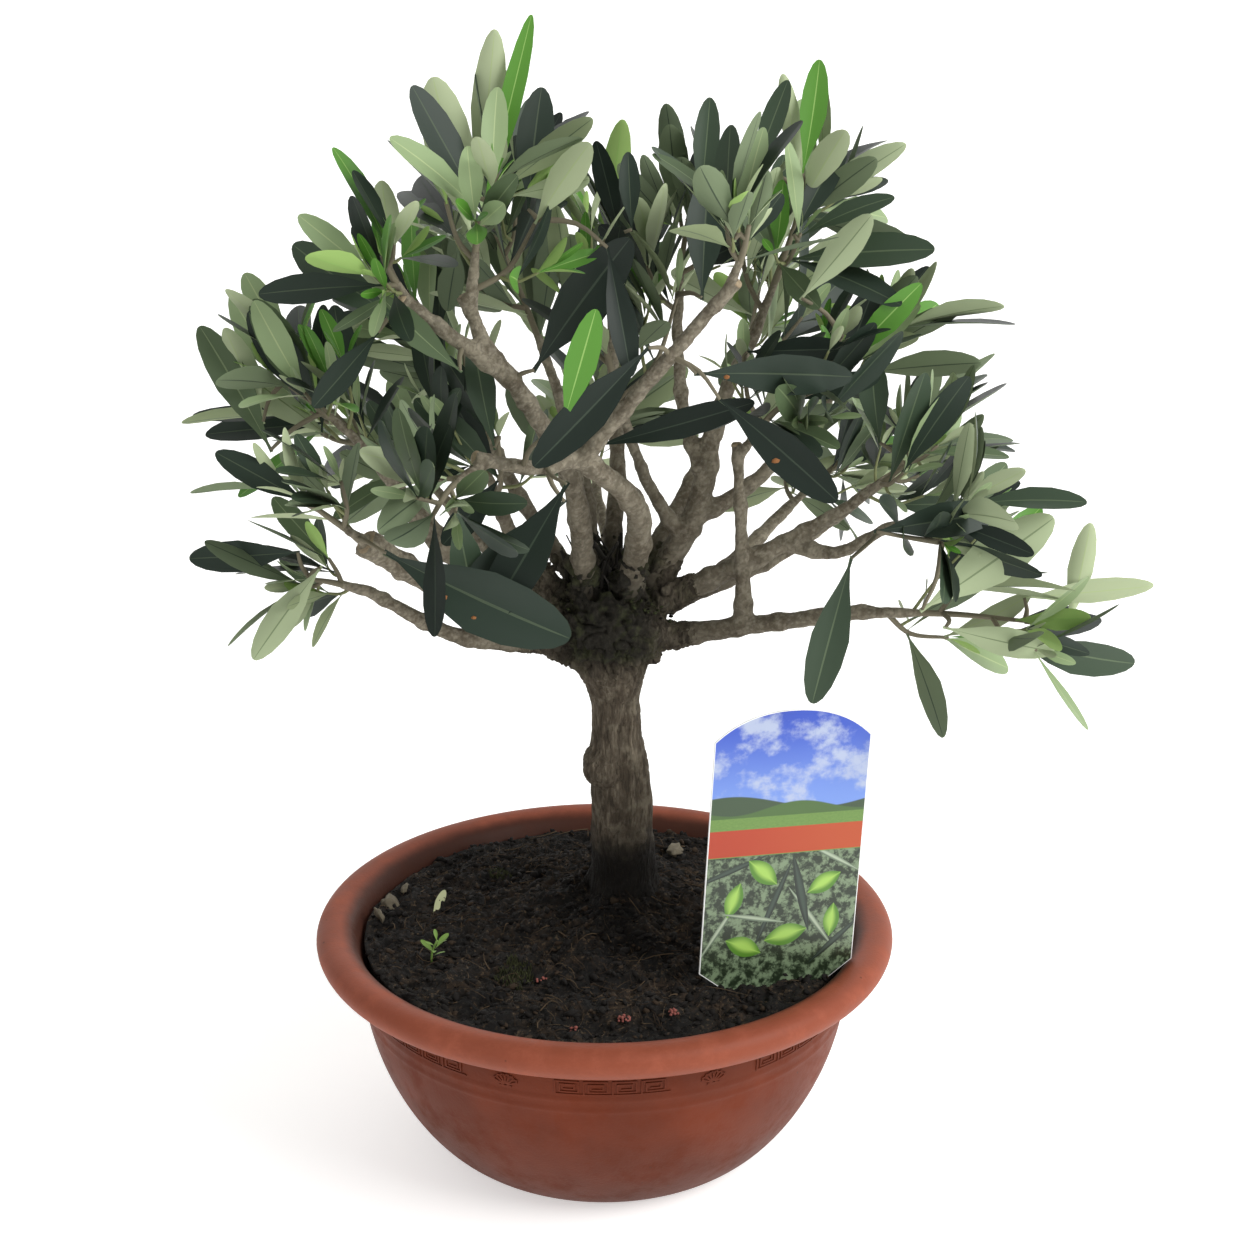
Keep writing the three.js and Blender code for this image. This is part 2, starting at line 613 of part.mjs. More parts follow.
/** Leaves in opposite pairs, each pair square to the last, along one twig. */
function growLeaves(twig, leaves, spray, cells, limbs, random) {
  const curve = new THREE.CatmullRomCurve3(twig.route);
  const count = Math.max(2, Math.round(curve.getLength() / TWIG.pairSpacing));
  for (let pair = 0; pair < count; pair += 1) {
    const along = (pair + LEAF.pairAt) / count;
    const place = curve.getPointAt(Math.min(LEAF.last, along));
    const heading = curve.getTangentAt(Math.min(LEAF.last, along));
    for (let half = 0; half < 2; half += 1) {
      for (let attempt = 0; attempt < LEAF.tries; attempt += 1) {
        const stray = (random() - 0.5) * LEAF.stray * (1 + attempt);
        const turn = twig.phase + (pair + 2 * half) * (Math.PI / 2) + stray;
        const opening = THREE.MathUtils.lerp(LEAF.spreadLow, LEAF.spreadTip, along);
        const spread = opening * (0.85 + 0.5 * random()) * (Math.PI / 2);
        const side = squareTo(heading, turn).addScaledVector(UP, LEAF.lift);
        side.addScaledVector(heading, -side.dot(heading)).normalize();
        const direction = heading.clone().multiplyScalar(Math.cos(spread));
        direction.addScaledVector(side, Math.sin(spread));
        const face = heading.clone().addScaledVector(direction, -heading.dot(direction)).normalize();
        const size = (0.8 + 0.32 * random()) * (1 - LEAF.smallerAtTip * along * along);
        const leaf = { root: place, direction, face, length: LEAF.length * spray.leafSize * size };
        const corners = leafCorners(leaf);
        const inside = corners.every((corner) => depthInCell(corner, spray.cell, cells) > TWIG.cellMargin);
        const ribs = [[0, 2], [0, 1], [1, 2], [0, 3], [3, 2]];
        const clear = ribs.every(([a, b]) => clearOfLimbs(corners[a], corners[b], LEAF.clearance, limbs));
        if (inside && clear && !leaves.some((other) => bladesCross(leaf, other))) {
          leaves.push(leaf);
          break;
        }
      }
    }
  }
}

/** Side shoots round the stem at the golden angle, each tried until one stays inside the cell. */
function growShoots(stem, spray, cells, limbs, random) {
  const shoots = [];
  const curve = new THREE.CatmullRomCurve3(stem.route);
  const stemLength = curve.getLength();
  for (let index = 0; index < spray.shoots; index += 1) {
    const along = SHOOT.first + (SHOOT.span * index) / Math.max(1, spray.shoots - 1);
    const from = curve.getPointAt(along);
    const heading = curve.getTangentAt(along);
    for (let attempt = 0; attempt < TWIG.tries; attempt += 1) {
      const side = squareTo(heading, index * GOLDEN_ANGLE + spray.seed + attempt * 0.8);
      const share = (SHOOT.length - SHOOT.shorterAtTip * along) * (0.8 + 0.4 * random());
      const length = stemLength * share * (1 - 0.06 * attempt);
      const middle = from.clone().addScaledVector(heading, length * 0.25);
      middle.addScaledVector(side, length * SHOOT.bend);
      const tip = from.clone().addScaledVector(heading, length * SHOOT.reach);
      tip.addScaledVector(side, length * SHOOT.reach).addScaledVector(UP, length * SHOOT.rise);
      const inside = [middle, tip].every((place) => depthInCell(place, spray.cell, cells) > SHOOT.margin);
      const stretches = [[from, middle], [middle, tip]];
      const clear = stretches.every(([a, b]) => clearOfLimbs(a, b, SHOOT.clearance, limbs));
      if (inside && clear) {
        const fromRadius = THREE.MathUtils.lerp(1.4, 1, along);
        const route = [from, middle, tip];
        shoots.push({ route, fromRadius, toRadius: TWIG.tipRadius * 0.8, phase: random() * Math.PI });
        break;
      }
    }
  }
  return shoots;
}

/** One spray: a stem that goes on from its bough's tip, side shoots, and the leaves on them all. */
function growSpray(spray, cells, limbs, room) {
  const random = seededRandom(spray.seed);
  const bough = BOUGHS.find((candidate) => candidate.name === spray.bough);
  const heading = new THREE.CatmullRomCurve3(bough.route).getTangentAt(1);
  const base = bough.route[2].clone().addScaledVector(heading, -1);
  const length = base.distanceTo(spray.tip);
  const middle = base.clone().lerp(spray.tip, 0.5).addScaledVector(heading, length * TWIG.stemBend);
  const stem = {
    route: [base, middle, spray.tip],
    fromRadius: Math.min(TWIG.stemRadius, bough.tipRadius),
    toRadius: TWIG.tipRadius,
    phase: random() * Math.PI,
  };
  const shoots = growShoots(stem, spray, cells, limbs, random);
  const twigs = [stem, ...shoots];
  const leaves = [];
  for (const twig of twigs) {
    const others = twigs.filter((other) => other !== twig).flatMap(twigStretches);
    growLeaves(twig, leaves, spray, cells, [...limbs, ...others], random);
  }
  let solid = mainPiece(wasm.Manifold.union(twigs.map(twigSolid)).subtract(room));
  for (const leaf of leaves) {
    const fused = mainPiece(solid.add(leafSolid(leaf)));
    if (closesCleanly(fused)) {
      solid = fused;
    }
  }
  return solid;
}

// ---------------------------------------------------------------- the plant in its pot

function piece(name, geometry, kind) {
  const mesh = new THREE.Mesh(geometry, finish(kind));
  mesh.name = name;
  return mesh;
}

const plant = new THREE.Group();

plant.add(piece("pot", potGeometry(), "pot"));
const slot = toSolid(placeCard(cardGeometry(GAP)));
plant.add(piece("soil", toGeometry(toSolid(soilGeometry()).subtract(slot)), "soil"));
plant.add(piece("plant_card", placeCard(cardGeometry()), "card"));
plant.add(piece("trunk", toGeometry(trunkSolid()), "bark"));

const taken = [trunkSolid(GAP + 0.1)];
for (const bough of BOUGHS) {
  const room = wasm.Manifold.union(taken);
  plant.add(piece(bough.name, toGeometry(mainPiece(boughSolid(bough).subtract(room))), "bark"));
  taken.push(boughSolid(bough, GAP + 0.1));
}

for (const spray of SPRAYS) {
  const bough = BOUGHS.find((candidate) => candidate.name === spray.bough);
  const centre = bough.route[2].clone().lerp(spray.tip, 0.55);
  spray.cell = { centre, reach: bough.route[2].distanceTo(spray.tip) * 0.2 };
}
const cells = SPRAYS.map((spray) => spray.cell);
const limbs = BOUGHS.flatMap(boughStretches);
const limbRoom = wasm.Manifold.union(taken);
for (const spray of SPRAYS) {
  plant.add(piece(spray.name, toGeometry(growSpray(spray, cells, limbs, limbRoom)), "leaf"));
}

export default plant;
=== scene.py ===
"""A small pollarded olive tree in a terracotta-coloured bowl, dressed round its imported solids.

Lengths are millimetres while a form is worked out, and become metres when it becomes a mesh.
"""

import bisect
import math

import bmesh
import bpy
import numpy as np
from mathutils import Matrix, Vector, noise


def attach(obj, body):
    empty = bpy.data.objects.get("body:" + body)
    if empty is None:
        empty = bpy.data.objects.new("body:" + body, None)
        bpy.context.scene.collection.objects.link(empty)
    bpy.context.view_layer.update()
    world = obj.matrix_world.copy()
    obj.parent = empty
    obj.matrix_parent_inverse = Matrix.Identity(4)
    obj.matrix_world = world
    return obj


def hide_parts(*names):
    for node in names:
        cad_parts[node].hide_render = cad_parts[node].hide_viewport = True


bl_info = {
    "name": "Potted olive tree",
    "version": (1, 0, 0),
    "blender": (4, 5, 0),
    "location": "3D View > Sidebar > Olive tree",
    "description": "Grows a small pollarded olive tree with its bowl, soil and picture card",
    "category": "Add Mesh",
}

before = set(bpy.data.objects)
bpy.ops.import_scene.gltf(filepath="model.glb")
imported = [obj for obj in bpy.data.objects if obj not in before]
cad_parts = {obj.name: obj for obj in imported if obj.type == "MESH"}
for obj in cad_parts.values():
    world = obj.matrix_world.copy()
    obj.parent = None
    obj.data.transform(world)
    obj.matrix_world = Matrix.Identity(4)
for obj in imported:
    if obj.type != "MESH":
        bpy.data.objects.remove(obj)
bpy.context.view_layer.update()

BODY = "root"
MM = 0.001
UP = Vector((0, 0, 1))
GOLDEN_ANGLE = math.radians(137.5)
FULL_TURN = 6.28  # radians, as nearly as strewn things need it
SEEDS = {  # where each thing's chance starts; the last four are added to a count or a spray's own seed
    "crumbs": 101, "fibres": 102, "litter": 103, "crust": 104, "seedling": 105, "leading": 77,
    "stone_forms": 40, "crust_forms": 60, "fine": 400, "kinds": 900,
}


def tint(code):
    """A colour written as six hex digits, as the linear numbers that shaders use."""
    shares = [int(code[i:i + 2], 16) / 255 for i in (0, 2, 4)]
    return [s / 12.92 if s <= 0.04045 else ((s + 0.055) / 1.055) ** 2.4 for s in shares]


# ---------------------------------------------------------------- sizes that the solids share

POT = {"base": 68.5, "wall": 115.0, "lip_bottom": 89.0, "bulge": 0.58, "thickness": 3.0, "floor": 4.0}
LIP = [
    (115.0, 88.6), (116.6, 90.6), (120.2, 92.9), (126.5, 95), (131.8, 98), (134.6, 102),
    (134.8, 105.5), (132.6, 109), (129, 110.5), (124, 110), (118.6, 107), (115.6, 101.5),
    (112.6, 92),
]
SOIL = {"edge": 102.0, "rim": 113.0, "seat": 118.5, "seat_radius": 21.0}

TRUNK = {
    "foot": (8.6, 12, 118.8), "waist": (8, 5, 165), "knee": (5.8, 1, 197), "neck": (4.8, 0, 222),
    "top": (2, 0, 248), "foot_radius": 15.2, "waist_radius": 14.4, "neck_radius": 10.9,
    "top_radius": 24, "waist_at": 0.4, "neck_at": 0.76, "flare": 3.6, "flare_reach": 0.08,
    "lobes": 5, "buried": 8,
}
HEAD = {"centre": (1.8, 0, 254.5), "half": (27, 25, 20.5), "lumps": 16, "height": 0.17,
        "spread": 0.38, "seed": 5}
KNOTS = [
    ((2.4, 0, 184), 12.6), ((0, 1, 193), 6.4), ((15.4, -3, 150), 5.0),
    ((-14, -4, 245), 11.5), ((17, -3, 243), 10.0),
]

CARD = {
    "width": 74.0, "height": 118.5, "arch": 13.0, "shoulder": 22.0, "spike_width": 13.0,
    "spike": 24.0, "thickness": 0.8, "foot": (76.2, -59.4, 111.8), "turn": 20.0, "recline": 2.0,
    "lean": 4.0, "border": 0.5, "arch_steps": 14, "arch_fullness": 0.62,
}

# Each bough: its route from its seat through its middle to its tip, and its radius at each end.
BOUGHS = {
    "low_right": ((14, -2, 244), (62, -14, 255), (114, -28, 266), 5.6, 3.2),
    "upright": ((62, -14, 255), (60, -12, 303), (58, -10, 331), 4, 2.4),
    "right": ((16, 0, 258), (68, -10, 286), (103, -18, 308), 6.2, 3.2),
    "right_fork": ((80, -13, 293), (100, -26, 292), (121, -36, 306), 3.6, 2.4),
    "crown_right": ((14, 2, 260), (41, 2, 304), (48, 3, 341), 7.2, 4.2),
    "right_high": ((40, 2, 301), (62, 6, 312), (92, 6, 342), 4.2, 2.6),
    "right_top": ((48, 3, 338), (55, 0, 360), (66, -3, 385), 3.8, 2.6),
    "centre_right": ((43, 2, 322), (35, 10, 348), (32, 14, 384), 3.6, 2.4),
    "front_arch": ((10, -6, 262), (14, -36, 314), (-9, -55, 340), 6.4, 4.6),
    "front_stub": ((-9, -55, 340), (-28, -66, 338), (-46, -74, 343), 3.5, 3),
    "front_right": ((-8, -55, 340), (18, -67, 373), (49, -76, 410), 3.9, 2.7),
    "front_high": ((-8, -6, 258), (-13, -36, 325), (-36, -57, 372), 5.8, 3.8),
    "top_left": ((-36, -57, 371), (-46, -62, 386), (-52, -64, 402), 3.7, 3),
    "left_high": ((-37, -57, 372), (-56, -68, 389), (-74, -74, 404), 3.4, 3),
    "left": ((-10, -2, 256), (-68, -22, 291), (-97, -36, 338), 5.4, 2.8),
    "left_stub": ((-10, -4, 250), (-66, -52, 283), (-92, -72, 306), 5.2, 5.6),
    "low_left": ((-12, -4, 244), (-62, -26, 254), (-100, -44, 280), 4.8, 2.8),
    "left_inner": ((-10, -2, 262), (-35, -8, 284), (-44, -14, 306), 4.4, 3.2),
    "centre_left": ((36, 1, 290), (20, -3, 316), (9, -6, 346), 3.6, 2.4),
    "back_left": ((-4, 6, 262), (-9, 20, 310), (-22, 30, 356), 4.8, 2.8),
    "back_right": ((8, 8, 262), (40, 44, 306), (58, 70, 350), 5, 3),
    "back_top": ((0, 10, 260), (6, 34, 312), (4, 52, 362), 5, 3),
    "back_low": ((2, 8, 252), (4, 58, 262), (-4, 96, 288), 5, 3),
    "back_low_right": ((8, 6, 250), (54, 46, 263), (88, 78, 286), 5, 3),
    "back_low_left": ((-4, 6, 250), (-46, 46, 266), (-78, 76, 292), 5, 3),
    "right_rear": ((12, 4, 254), (76, 22, 276), (116, 30, 302), 5, 3),
    "left_rear": ((-8, 3, 254), (-70, 20, 284), (-100, 24, 318), 4.8, 2.8),
    "left_back_high": ((-6, 4, 260), (-44, 34, 312), (-60, 48, 346), 4.6, 2.8),
}
STUBS = ("front_stub", "front_right", "right_high", "left_stub", "top_left", "left_high", "upright")

# Each spray: its bough, the tip of its stem, its side shoots, its leaves' size, seed and youth.
SPRAYS = {
    "low_right": ("low_right", (180, -42, 266), 3, 0.95, 21, 0.5),
    "right_inner": ("upright", (90, -50, 368), 4, 0.9, 22, 0.0),
    "right": ("right", (136, -28, 338), 3, 0.95, 23, 0.2),
    "right_front": ("right_fork", (142, -66, 316), 3, 0.9, 24, 0.1),
    "right_high": ("right_high", (117, 6, 386), 3, 0.95, 25, 0.6),
    "top_right": ("right_top", (84, -10, 442), 3, 0.95, 26, 0.7),
    "top_middle": ("centre_right", (37, 18, 432), 3, 0.95, 27, 0.3),
    "front_right": ("front_right", (56, -86, 436), 3, 0.9, 28, 0.2),
    "front": ("front_stub", (-66, -102, 326), 4, 0.9, 29, 0.1),
    "top_left": ("top_left", (-40, -66, 454), 4, 0.95, 30, 0.9),
    "left_high": ("left_high", (-84, -80, 424), 3, 0.8, 31, 0.8),
    "left": ("left", (-130, -48, 370), 3, 0.9, 32, 0.7),
    "left_front": ("left_stub", (-117, -88, 330), 3, 0.9, 33, 0.4),
    "low_left": ("low_left", (-122, -54, 288), 3, 0.85, 34, 0.2),
    "left_inner": ("left_inner", (-62, -22, 372), 4, 0.85, 35, 0.2),
    "centre": ("centre_left", (-6, -24, 416), 4, 0.9, 36, 0.2),
    "back_left": ("back_left", (-50, 36, 426), 3, 1, 37, 0.5),
    "back_right": ("back_right", (84, 84, 400), 3, 1, 38, 0.4),
    "back_top": ("back_top", (0, 76, 418), 3, 1, 39, 0.4),
    "back_low": ("back_low", (-8, 136, 322), 3, 1, 40, 0.3),
    "back_low_right": ("back_low_right", (120, 110, 306), 3, 1, 41, 0.3),
    "back_low_left": ("back_low_left", (-110, 106, 318), 3, 1, 42, 0.3),
    "right_rear": ("right_rear", (146, 38, 324), 3, 0.95, 43, 0.3),
    "left_rear": ("left_rear", (-122, 24, 345), 3, 0.95, 54, 0.3),
    "left_back_high": ("left_back_high", (-90, 60, 394), 3, 0.95, 45, 0.5),
}

# How a leaf and a twig grow, as in the solids, and the finer growth that is added to them here.
LEAF = {
    "length": 62.0, "breadth": 0.31, "widest": 0.5, "thickness": 0.02, "root_depth": 0.2,
    "throat": 0.07, "clearance": 2.2, "lift": 0.35, "stray": 0.9, "tries": 12, "pair_at": 0.85,
    "last": 0.985, "spread_low": 0.62, "spread_tip": 0.34, "smaller_at_tip": 0.22,
}
TWIG = {
    "steps": 2, "stem": 1.9, "tip": 0.9, "pair_spacing": 33.0, "margin": 0.35, "tries": 8,
    "bough_steps": 4, "stem_bend": 0.1, "shoot_tip": 0.8,
}
SHOOT = {
    "first": 0.14, "span": 0.66, "length": 0.62, "shorter_at_tip": 0.3, "ahead": 0.25, "bend": 0.36,
    "reach": 0.66, "rise": 0.16, "margin": 2.5, "clearance": 2, "turn_each_try": 0.8,
    "shorter_each_try": 0.06, "low_radius": 1.4, "high_radius": 1,
}
FINE = {
    "sprig_at": 0.3, "sprig_share": 0.5, "sprig_turn": 1.7, "sprig_radius": 0.85, "sprig_taper": 0.6,
    "pair_spacing": 26.0, "leaf_size": 0.72, "between": 0.35, "between_share": 0.3,
    "between_size": 0.86, "bud": 0.36, "neighbourhood": 95.0,
}

# The largest and foremost leaves, where the stage's camera sees them. Each one's kind, its root and
# its tip, both as pixels across and down its frame with a depth in millimetres, and its breadth.
LEADING_LEAVES = {
    "low_left_large": ("dark", (384, 552, -92), (545, 638, -104), 1.15),
    "head_left": ("deep", (568, 482, -84), (497, 606, -100), 1.15),
    "centre_level": ("dark", (694, 374, -78), (838, 370, -70), 1.0),
    "right_hanging": ("deep", (718, 398, -84), (828, 486, -100), 1.05),
    "arch_hanging": ("deep", (650, 346, -80), (549, 456, -98), 0.9),
    "left_of_arch": ("dark", (566, 500, -70), (470, 590, -92), 1.0),
    "low_right_hanging": ("olive", (852, 556, -60), (815, 688, -66), 0.85),
    "right_broad": ("grey", (920, 611, -72), (1041, 531, -64), 1.15),
    "right_level": ("dark", (874, 532, -76), (986, 511, -70), 1.0),
    "top_left_pale": ("pale", (472, 238, -78), (436, 97, -66), 1.1),
    "top_left_shoot": ("fresh", (481, 222, -72), (527, 37, -62), 0.42),
    "top_left_upright": ("pale", (478, 200, -66), (494, 50, -56), 0.7),
    "top_middle_pale": ("pale", (735, 242, -84), (757, 139, -82), 0.9),
    "top_right_shoot": ("fresh", (802, 176, -14), (823, 72, -6), 0.8),
    "top_right_pale": ("pale", (800, 182, -8), (788, 86, -2), 0.8),
    "centre_fresh": ("fresh", (562, 428, -92), (592, 324, -96), 0.9),
    "low_right_tip": ("pale", (1022, 598, -46), (1135, 588, -40), 0.7),
    "low_right_under": ("grey", (943, 627, -56), (1042, 654, -60), 1.0),
    "left_high_broad": ("olive", (402, 322, -80), (297, 255, -72), 1.0),
    "left_edge_grey": ("grey", (272, 452, -58), (212, 336, -50), 1.1),
    "left_edge_pale": ("pale", (264, 424, -56), (234, 337, -48), 1.0),
    "low_left_grey": ("grey", (322, 566, -62), (258, 646, -70), 1.0),
    "low_left_tip": ("dark", (300, 552, -60), (202, 560, -56), 1.0),
    "low_right_upright": ("pale", (1068, 628, -44), (1090, 534, -40), 0.9),
    "top_left_dark": ("dark", (528, 212, -60), (535, 100, -52), 1.0),
    "top_middle_olive": ("olive", (700, 205, -10), (711, 108, -4), 1.0),
    "top_right_olive": ("olive", (752, 175, -16), (784, 91, -10), 1.0),
    "top_behind": ("deep", (620, 240, -30), (602, 150, -26), 1.0),
    "left_high_dark": ("dark", (380, 330, -70), (322, 400, -84), 1.0),
    "middle_rising": ("deep", (533, 372, -62), (612, 250, -66), 1.1),
    "middle_hanging": ("deep", (607, 245, -72), (630, 362, -82), 0.8),
    "middle_level": ("deep", (592, 447, -50), (738, 412, -56), 0.62),
    "right_inner_level": ("deep", (745, 352, -40), (838, 348, -46), 0.95),
    "right_inner_rising": ("dark", (702, 300, -34), (705, 190, -24), 1.1),
    "top_between": ("dark", (632, 232, -40), (628, 160, -34), 1.0),
    "top_right_rising": ("dark", (793, 236, -22), (838, 150, -14), 0.95),
    "right_high_grey": ("grey", (800, 300, -46), (868, 224, -52), 0.9),
    "right_high_fresh": ("fresh", (843, 365, -40), (910, 290, -44), 1.0),
    "right_olive": ("olive", (880, 445, -24), (868, 365, -18), 1.4),
    "left_inner_olive": ("olive", (495, 450, -56), (470, 352, -50), 1.1),
    "left_dark": ("dark", (322, 435, -40), (322, 318, -34), 0.8),
    "front_left_short": ("deep", (500, 478, -62), (452, 540, -70), 1.35),
    "left_high_grey": ("grey", (462, 372, -76), (388, 312, -82), 1.15),
    "left_top_pale": ("pale", (392, 264, -46), (384, 190, -40), 1.25),
}
RUSTED = {  # how far along each leaf its rust spots are
    "low_left_large": (0.3, 0.62), "centre_level": (0.25,), "right_hanging": (0.55,), "left_of_arch": (0.3,),
}
LEADING_SIZE = 1.12  # drawn this much longer, for what the curl takes off a blade's reach

# ---------------------------------------------------------------- what a user would change


def measure(name, text, default, unit="LENGTH"):
    """A size in metres, or a plain number where the unit is NONE."""
    return bpy.props.FloatProperty(name=name, description=text, default=default, unit=unit, precision=5)


def colour(name, text, code):
    """A colour that the sidebar shows as a swatch."""
    return bpy.props.FloatVectorProperty(
        name=name, description=text, subtype="COLOR", size=3, min=0, max=1, default=tint(code))


class BowlSettings(bpy.types.PropertyGroup):
    clay: colour("Clay", "The bowl's plain wall", "70311a")
    deep_clay: colour("Deep clay", "Darker clouding in the wall", "632b17")
    lip_clay: colour("Lip", "The lip, a little pinker and dustier", "a15842")
    # grime_and_shade paints shade low on the wall and on its left side, and the real dirt in the speckles
    grime_and_shade: colour("Grime", "Dirt low on the wall and in the speckles", "4a2c20")
    relief: measure("Relief", "How far the key pattern stands out", 0.00045)
    segments: bpy.props.IntProperty(name="Segments", description="Steps round the bowl", default=144)


class SoilSettings(bpy.types.PropertyGroup):
    earth: colour("Earth", "Damp potting soil", "1a1612")
    dry_earth: colour("Dry earth", "Drier crumbs and fibres", "4a3c30")
    crumbs: bpy.props.IntProperty(name="Crumbs", description="Loose crumbs on the soil", default=5600)
    fibres: bpy.props.IntProperty(name="Fibres", description="Loose fibres on the soil", default=1100)


class CardSettings(bpy.types.PropertyGroup):
    sky: colour("Sky", "The sky in the upper picture", "2549b8")
    cloud: colour("Cloud", "Clouds in the upper picture", "a9b4cf")
    band: colour("Band", "The band between the pictures", "a83209")
    meadow: colour("Meadow", "The hills in the upper picture", "54762f")
    shade: colour("Shade", "The ground of the lower picture", "1f2b1a")


class BarkSettings(bpy.types.PropertyGroup):
    bark: colour("Bark", "Weathered bark on the trunk", "857a69")
    # fissure_and_shade: the fissures' own dark bark together with painted shade in the fissures and the
    # head's pits
    fissure_and_shade: colour("Fissure", "The bottoms of the fissures", "2f2820")
    damp: colour("Damp bark", "Bark on the head", "1f1d16")
    moss: colour("Moss", "Green growth on the head", "3a3e24")
    bough: colour("Bough", "Smoother bark on the boughs", "857d6c")
    cut: colour("Cut wood", "Sawn ends of the stubs", "b3a185")
    trunk_voxel: measure("Trunk detail", "Fineness of the trunk's skin", 0.0008)
    bough_voxel: measure("Bough detail", "Fineness of the boughs' skin", 0.00105)
    fissure_depth: measure("Fissure depth", "Depth of the trunk's fissures", 0.0009)


class FoliageSettings(bpy.types.PropertyGroup):
    curl: measure("Curl", "How far a leaf's tip bends back, as a share of its length", 0.1, "NONE")
    fold: measure("Fold", "How far a leaf folds up along its midrib", 0.28, "NONE")
    twig: colour("Twig", "Young bark", "746d5a")
    shoot: colour("Shoot", "Green growth at the twigs' ends", "7b8055")


class StageSettings(bpy.types.PropertyGroup):
    floor: colour("Floor", "The pale floor and backdrop", "f4f4f2")
    floor_glow: measure("Floor glow", "How far the floor shines of itself", 0.5, "NONE")
    key_power: measure("Key", "Power of the large soft light", 25.0, "POWER")
    fill_power: measure("Fill", "Power of the weaker light", 2.0, "POWER")
    sky_strength: measure("Sky", "Strength of the even light all round", 0.45, "NONE")


SETTINGS = {
    "olive_bowl": BowlSettings, "olive_soil": SoilSettings, "olive_card": CardSettings,
    "olive_bark": BarkSettings, "olive_foliage": FoliageSettings, "olive_stage": StageSettings,
}


# ---------------------------------------------------------------- materials


def reckoned(operation, swapped=False):
    """A method that reckons with a signal and another signal or number."""
    def method(self, other):
        first, second = (other, self) if swapped else (self, other)
        return self.finish.node("ShaderNodeMath", {"operation": operation}, {0: first, 1: second})
    return method


class Signal:
    """A shader socket that is reckoned with like a number."""

    def __init__(self, finish, socket):
        self.finish = finish
        self.socket = socket

    __add__, __radd__ = reckoned("ADD"), reckoned("ADD", True)
    __sub__, __rsub__ = reckoned("SUBTRACT"), reckoned("SUBTRACT", True)
    __mul__, __rmul__ = reckoned("MULTIPLY"), reckoned("MULTIPLY", True)
    __truediv__, __rtruediv__ = reckoned("DIVIDE"), reckoned("DIVIDE", True)
    __pow__, __rpow__ = reckoned("POWER"), reckoned("POWER", True)


class Finish:
    """One material, and the nodes that its maker adds to it."""

    def __init__(self, name, **constants):
        self.material = bpy.data.materials.new(name)
        self.material.use_nodes = True
        self.tree = self.material.node_tree
        self.shader = self.tree.nodes["Principled BSDF"]
        for socket, value in constants.items():
            self.feed(socket.replace("_", " ").title().replace("Ior", "IOR"), value)

    def node(self, kind, settings=None, inputs=None, out=0):
        made = self.tree.nodes.new(kind)
        for name, value in (settings or {}).items():
            setattr(made, name, value)
        for name, value in (inputs or {}).items():
            if isinstance(value, Signal):
                self.tree.links.new(value.socket, made.inputs[name])
            else:
                made.inputs[name].default_value = value
        return Signal(self, made.outputs[out])

    def feed(self, socket, value):
        """Sets or links one of the shader's own sockets."""
        target = self.shader.inputs[socket]
        if isinstance(value, Signal):
            self.tree.links.new(value.socket, target)
        elif target.type == "RGBA":
            target.default_value = (*value, 1)
        else:
            target.default_value = value

    def place(self):
        return self.node("ShaderNodeTexCoord", out="Object")

    def attribute(self, name):
        return self.node("ShaderNodeAttribute", {"attribute_name": name}, out="Fac")

    def parts(self, vector):
        """The three numbers of a vector."""
        return [self.node("ShaderNodeSeparateXYZ", None, {0: vector}, out=i) for i in range(3)]

    def stretched(self, vector, scale):
        settings = {"operation": "MULTIPLY"}
        return self.node("ShaderNodeVectorMath", settings, {0: vector, 1: scale})

    def cloud(self, where, size, detail=3.0, roughness=0.55):
        """Soft noise whose lumps are about `size` metres across."""
        inputs = {"Vector": where, "Scale": 1 / size, "Detail": detail, "Roughness": roughness}
        return self.node("ShaderNodeTexNoise", None, inputs)

    def patches(self, where, size, low, high, detail=4, roughness=0.55):
        """Soft patches: 0 where the noise is below `low`, 1 where it is above `high`."""
        return self.ease(self.cloud(where, size, detail, roughness), low, high)

    def cells(self, where, size):
        """How far each place is from the middle of its cell."""
        return self.node("ShaderNodeTexVoronoi", None, {"Vector": where, "Scale": 1 / size}, out="Distance")

    def ease(self, value, low, high):
        """0 below `low`, 1 above `high`, and smooth between them."""
        inputs = {"Value": value, "From Min": low, "From Max": high}
        return self.node("ShaderNodeMapRange", {"interpolation_type": "SMOOTHSTEP"}, inputs)

    def mix(self, share, low, high):
        low, high = (c if isinstance(c, Signal) else (*c, 1) for c in (low, high))
        return self.node("ShaderNodeMix", {"data_type": "RGBA"}, {0: share, 6: low, 7: high}, out=2)

    def done(self, tone, roughness, height=None, distance=0, strength=0):
        """Feeds the colour, the roughness and any relief, and hands the material over."""
        self.feed("Base Color", tone)
        self.feed("Roughness", roughness)
        if height:
            inputs = {"Height": height, "Distance": distance, "Strength": strength}
            self.feed("Normal", self.node("ShaderNodeBump", None, inputs))
        return self.material


def plain(name, tone, roughness, **constants):
    """A finish that is the same all over, for pieces made of hundreds of small copies."""
    return Finish(name, base_color=tone, roughness=roughness, **constants).material


# Where one look gives way to the next: the height or the distance from the axis at both ends of the
# change, in metres.
LIP_LOOK = (0.089, 0.093)
LIP_INSIDE = (0.1195, 0.126)
# the painted shade low on the bowl's wall fades out between these heights
WALL_SHADE_LOW = (0.0, 0.075)
TRUNK_FOOT = (0.126, 0.148)
TRUNK_HEAD = (0.236, 0.256)
HEAD_FLANK = (0.013, 0.028)
HEAD_RELIEF = {"rise": (226, 240), "aside": (25, 35)}  # in millimetres
# painted shade on the boughs inside the crown, darkest near the head's middle
BOUGH_CROWN_SHADE = {"level": 254, "reach": (24, 105), "dark": (24, 42)}  # in millimetres


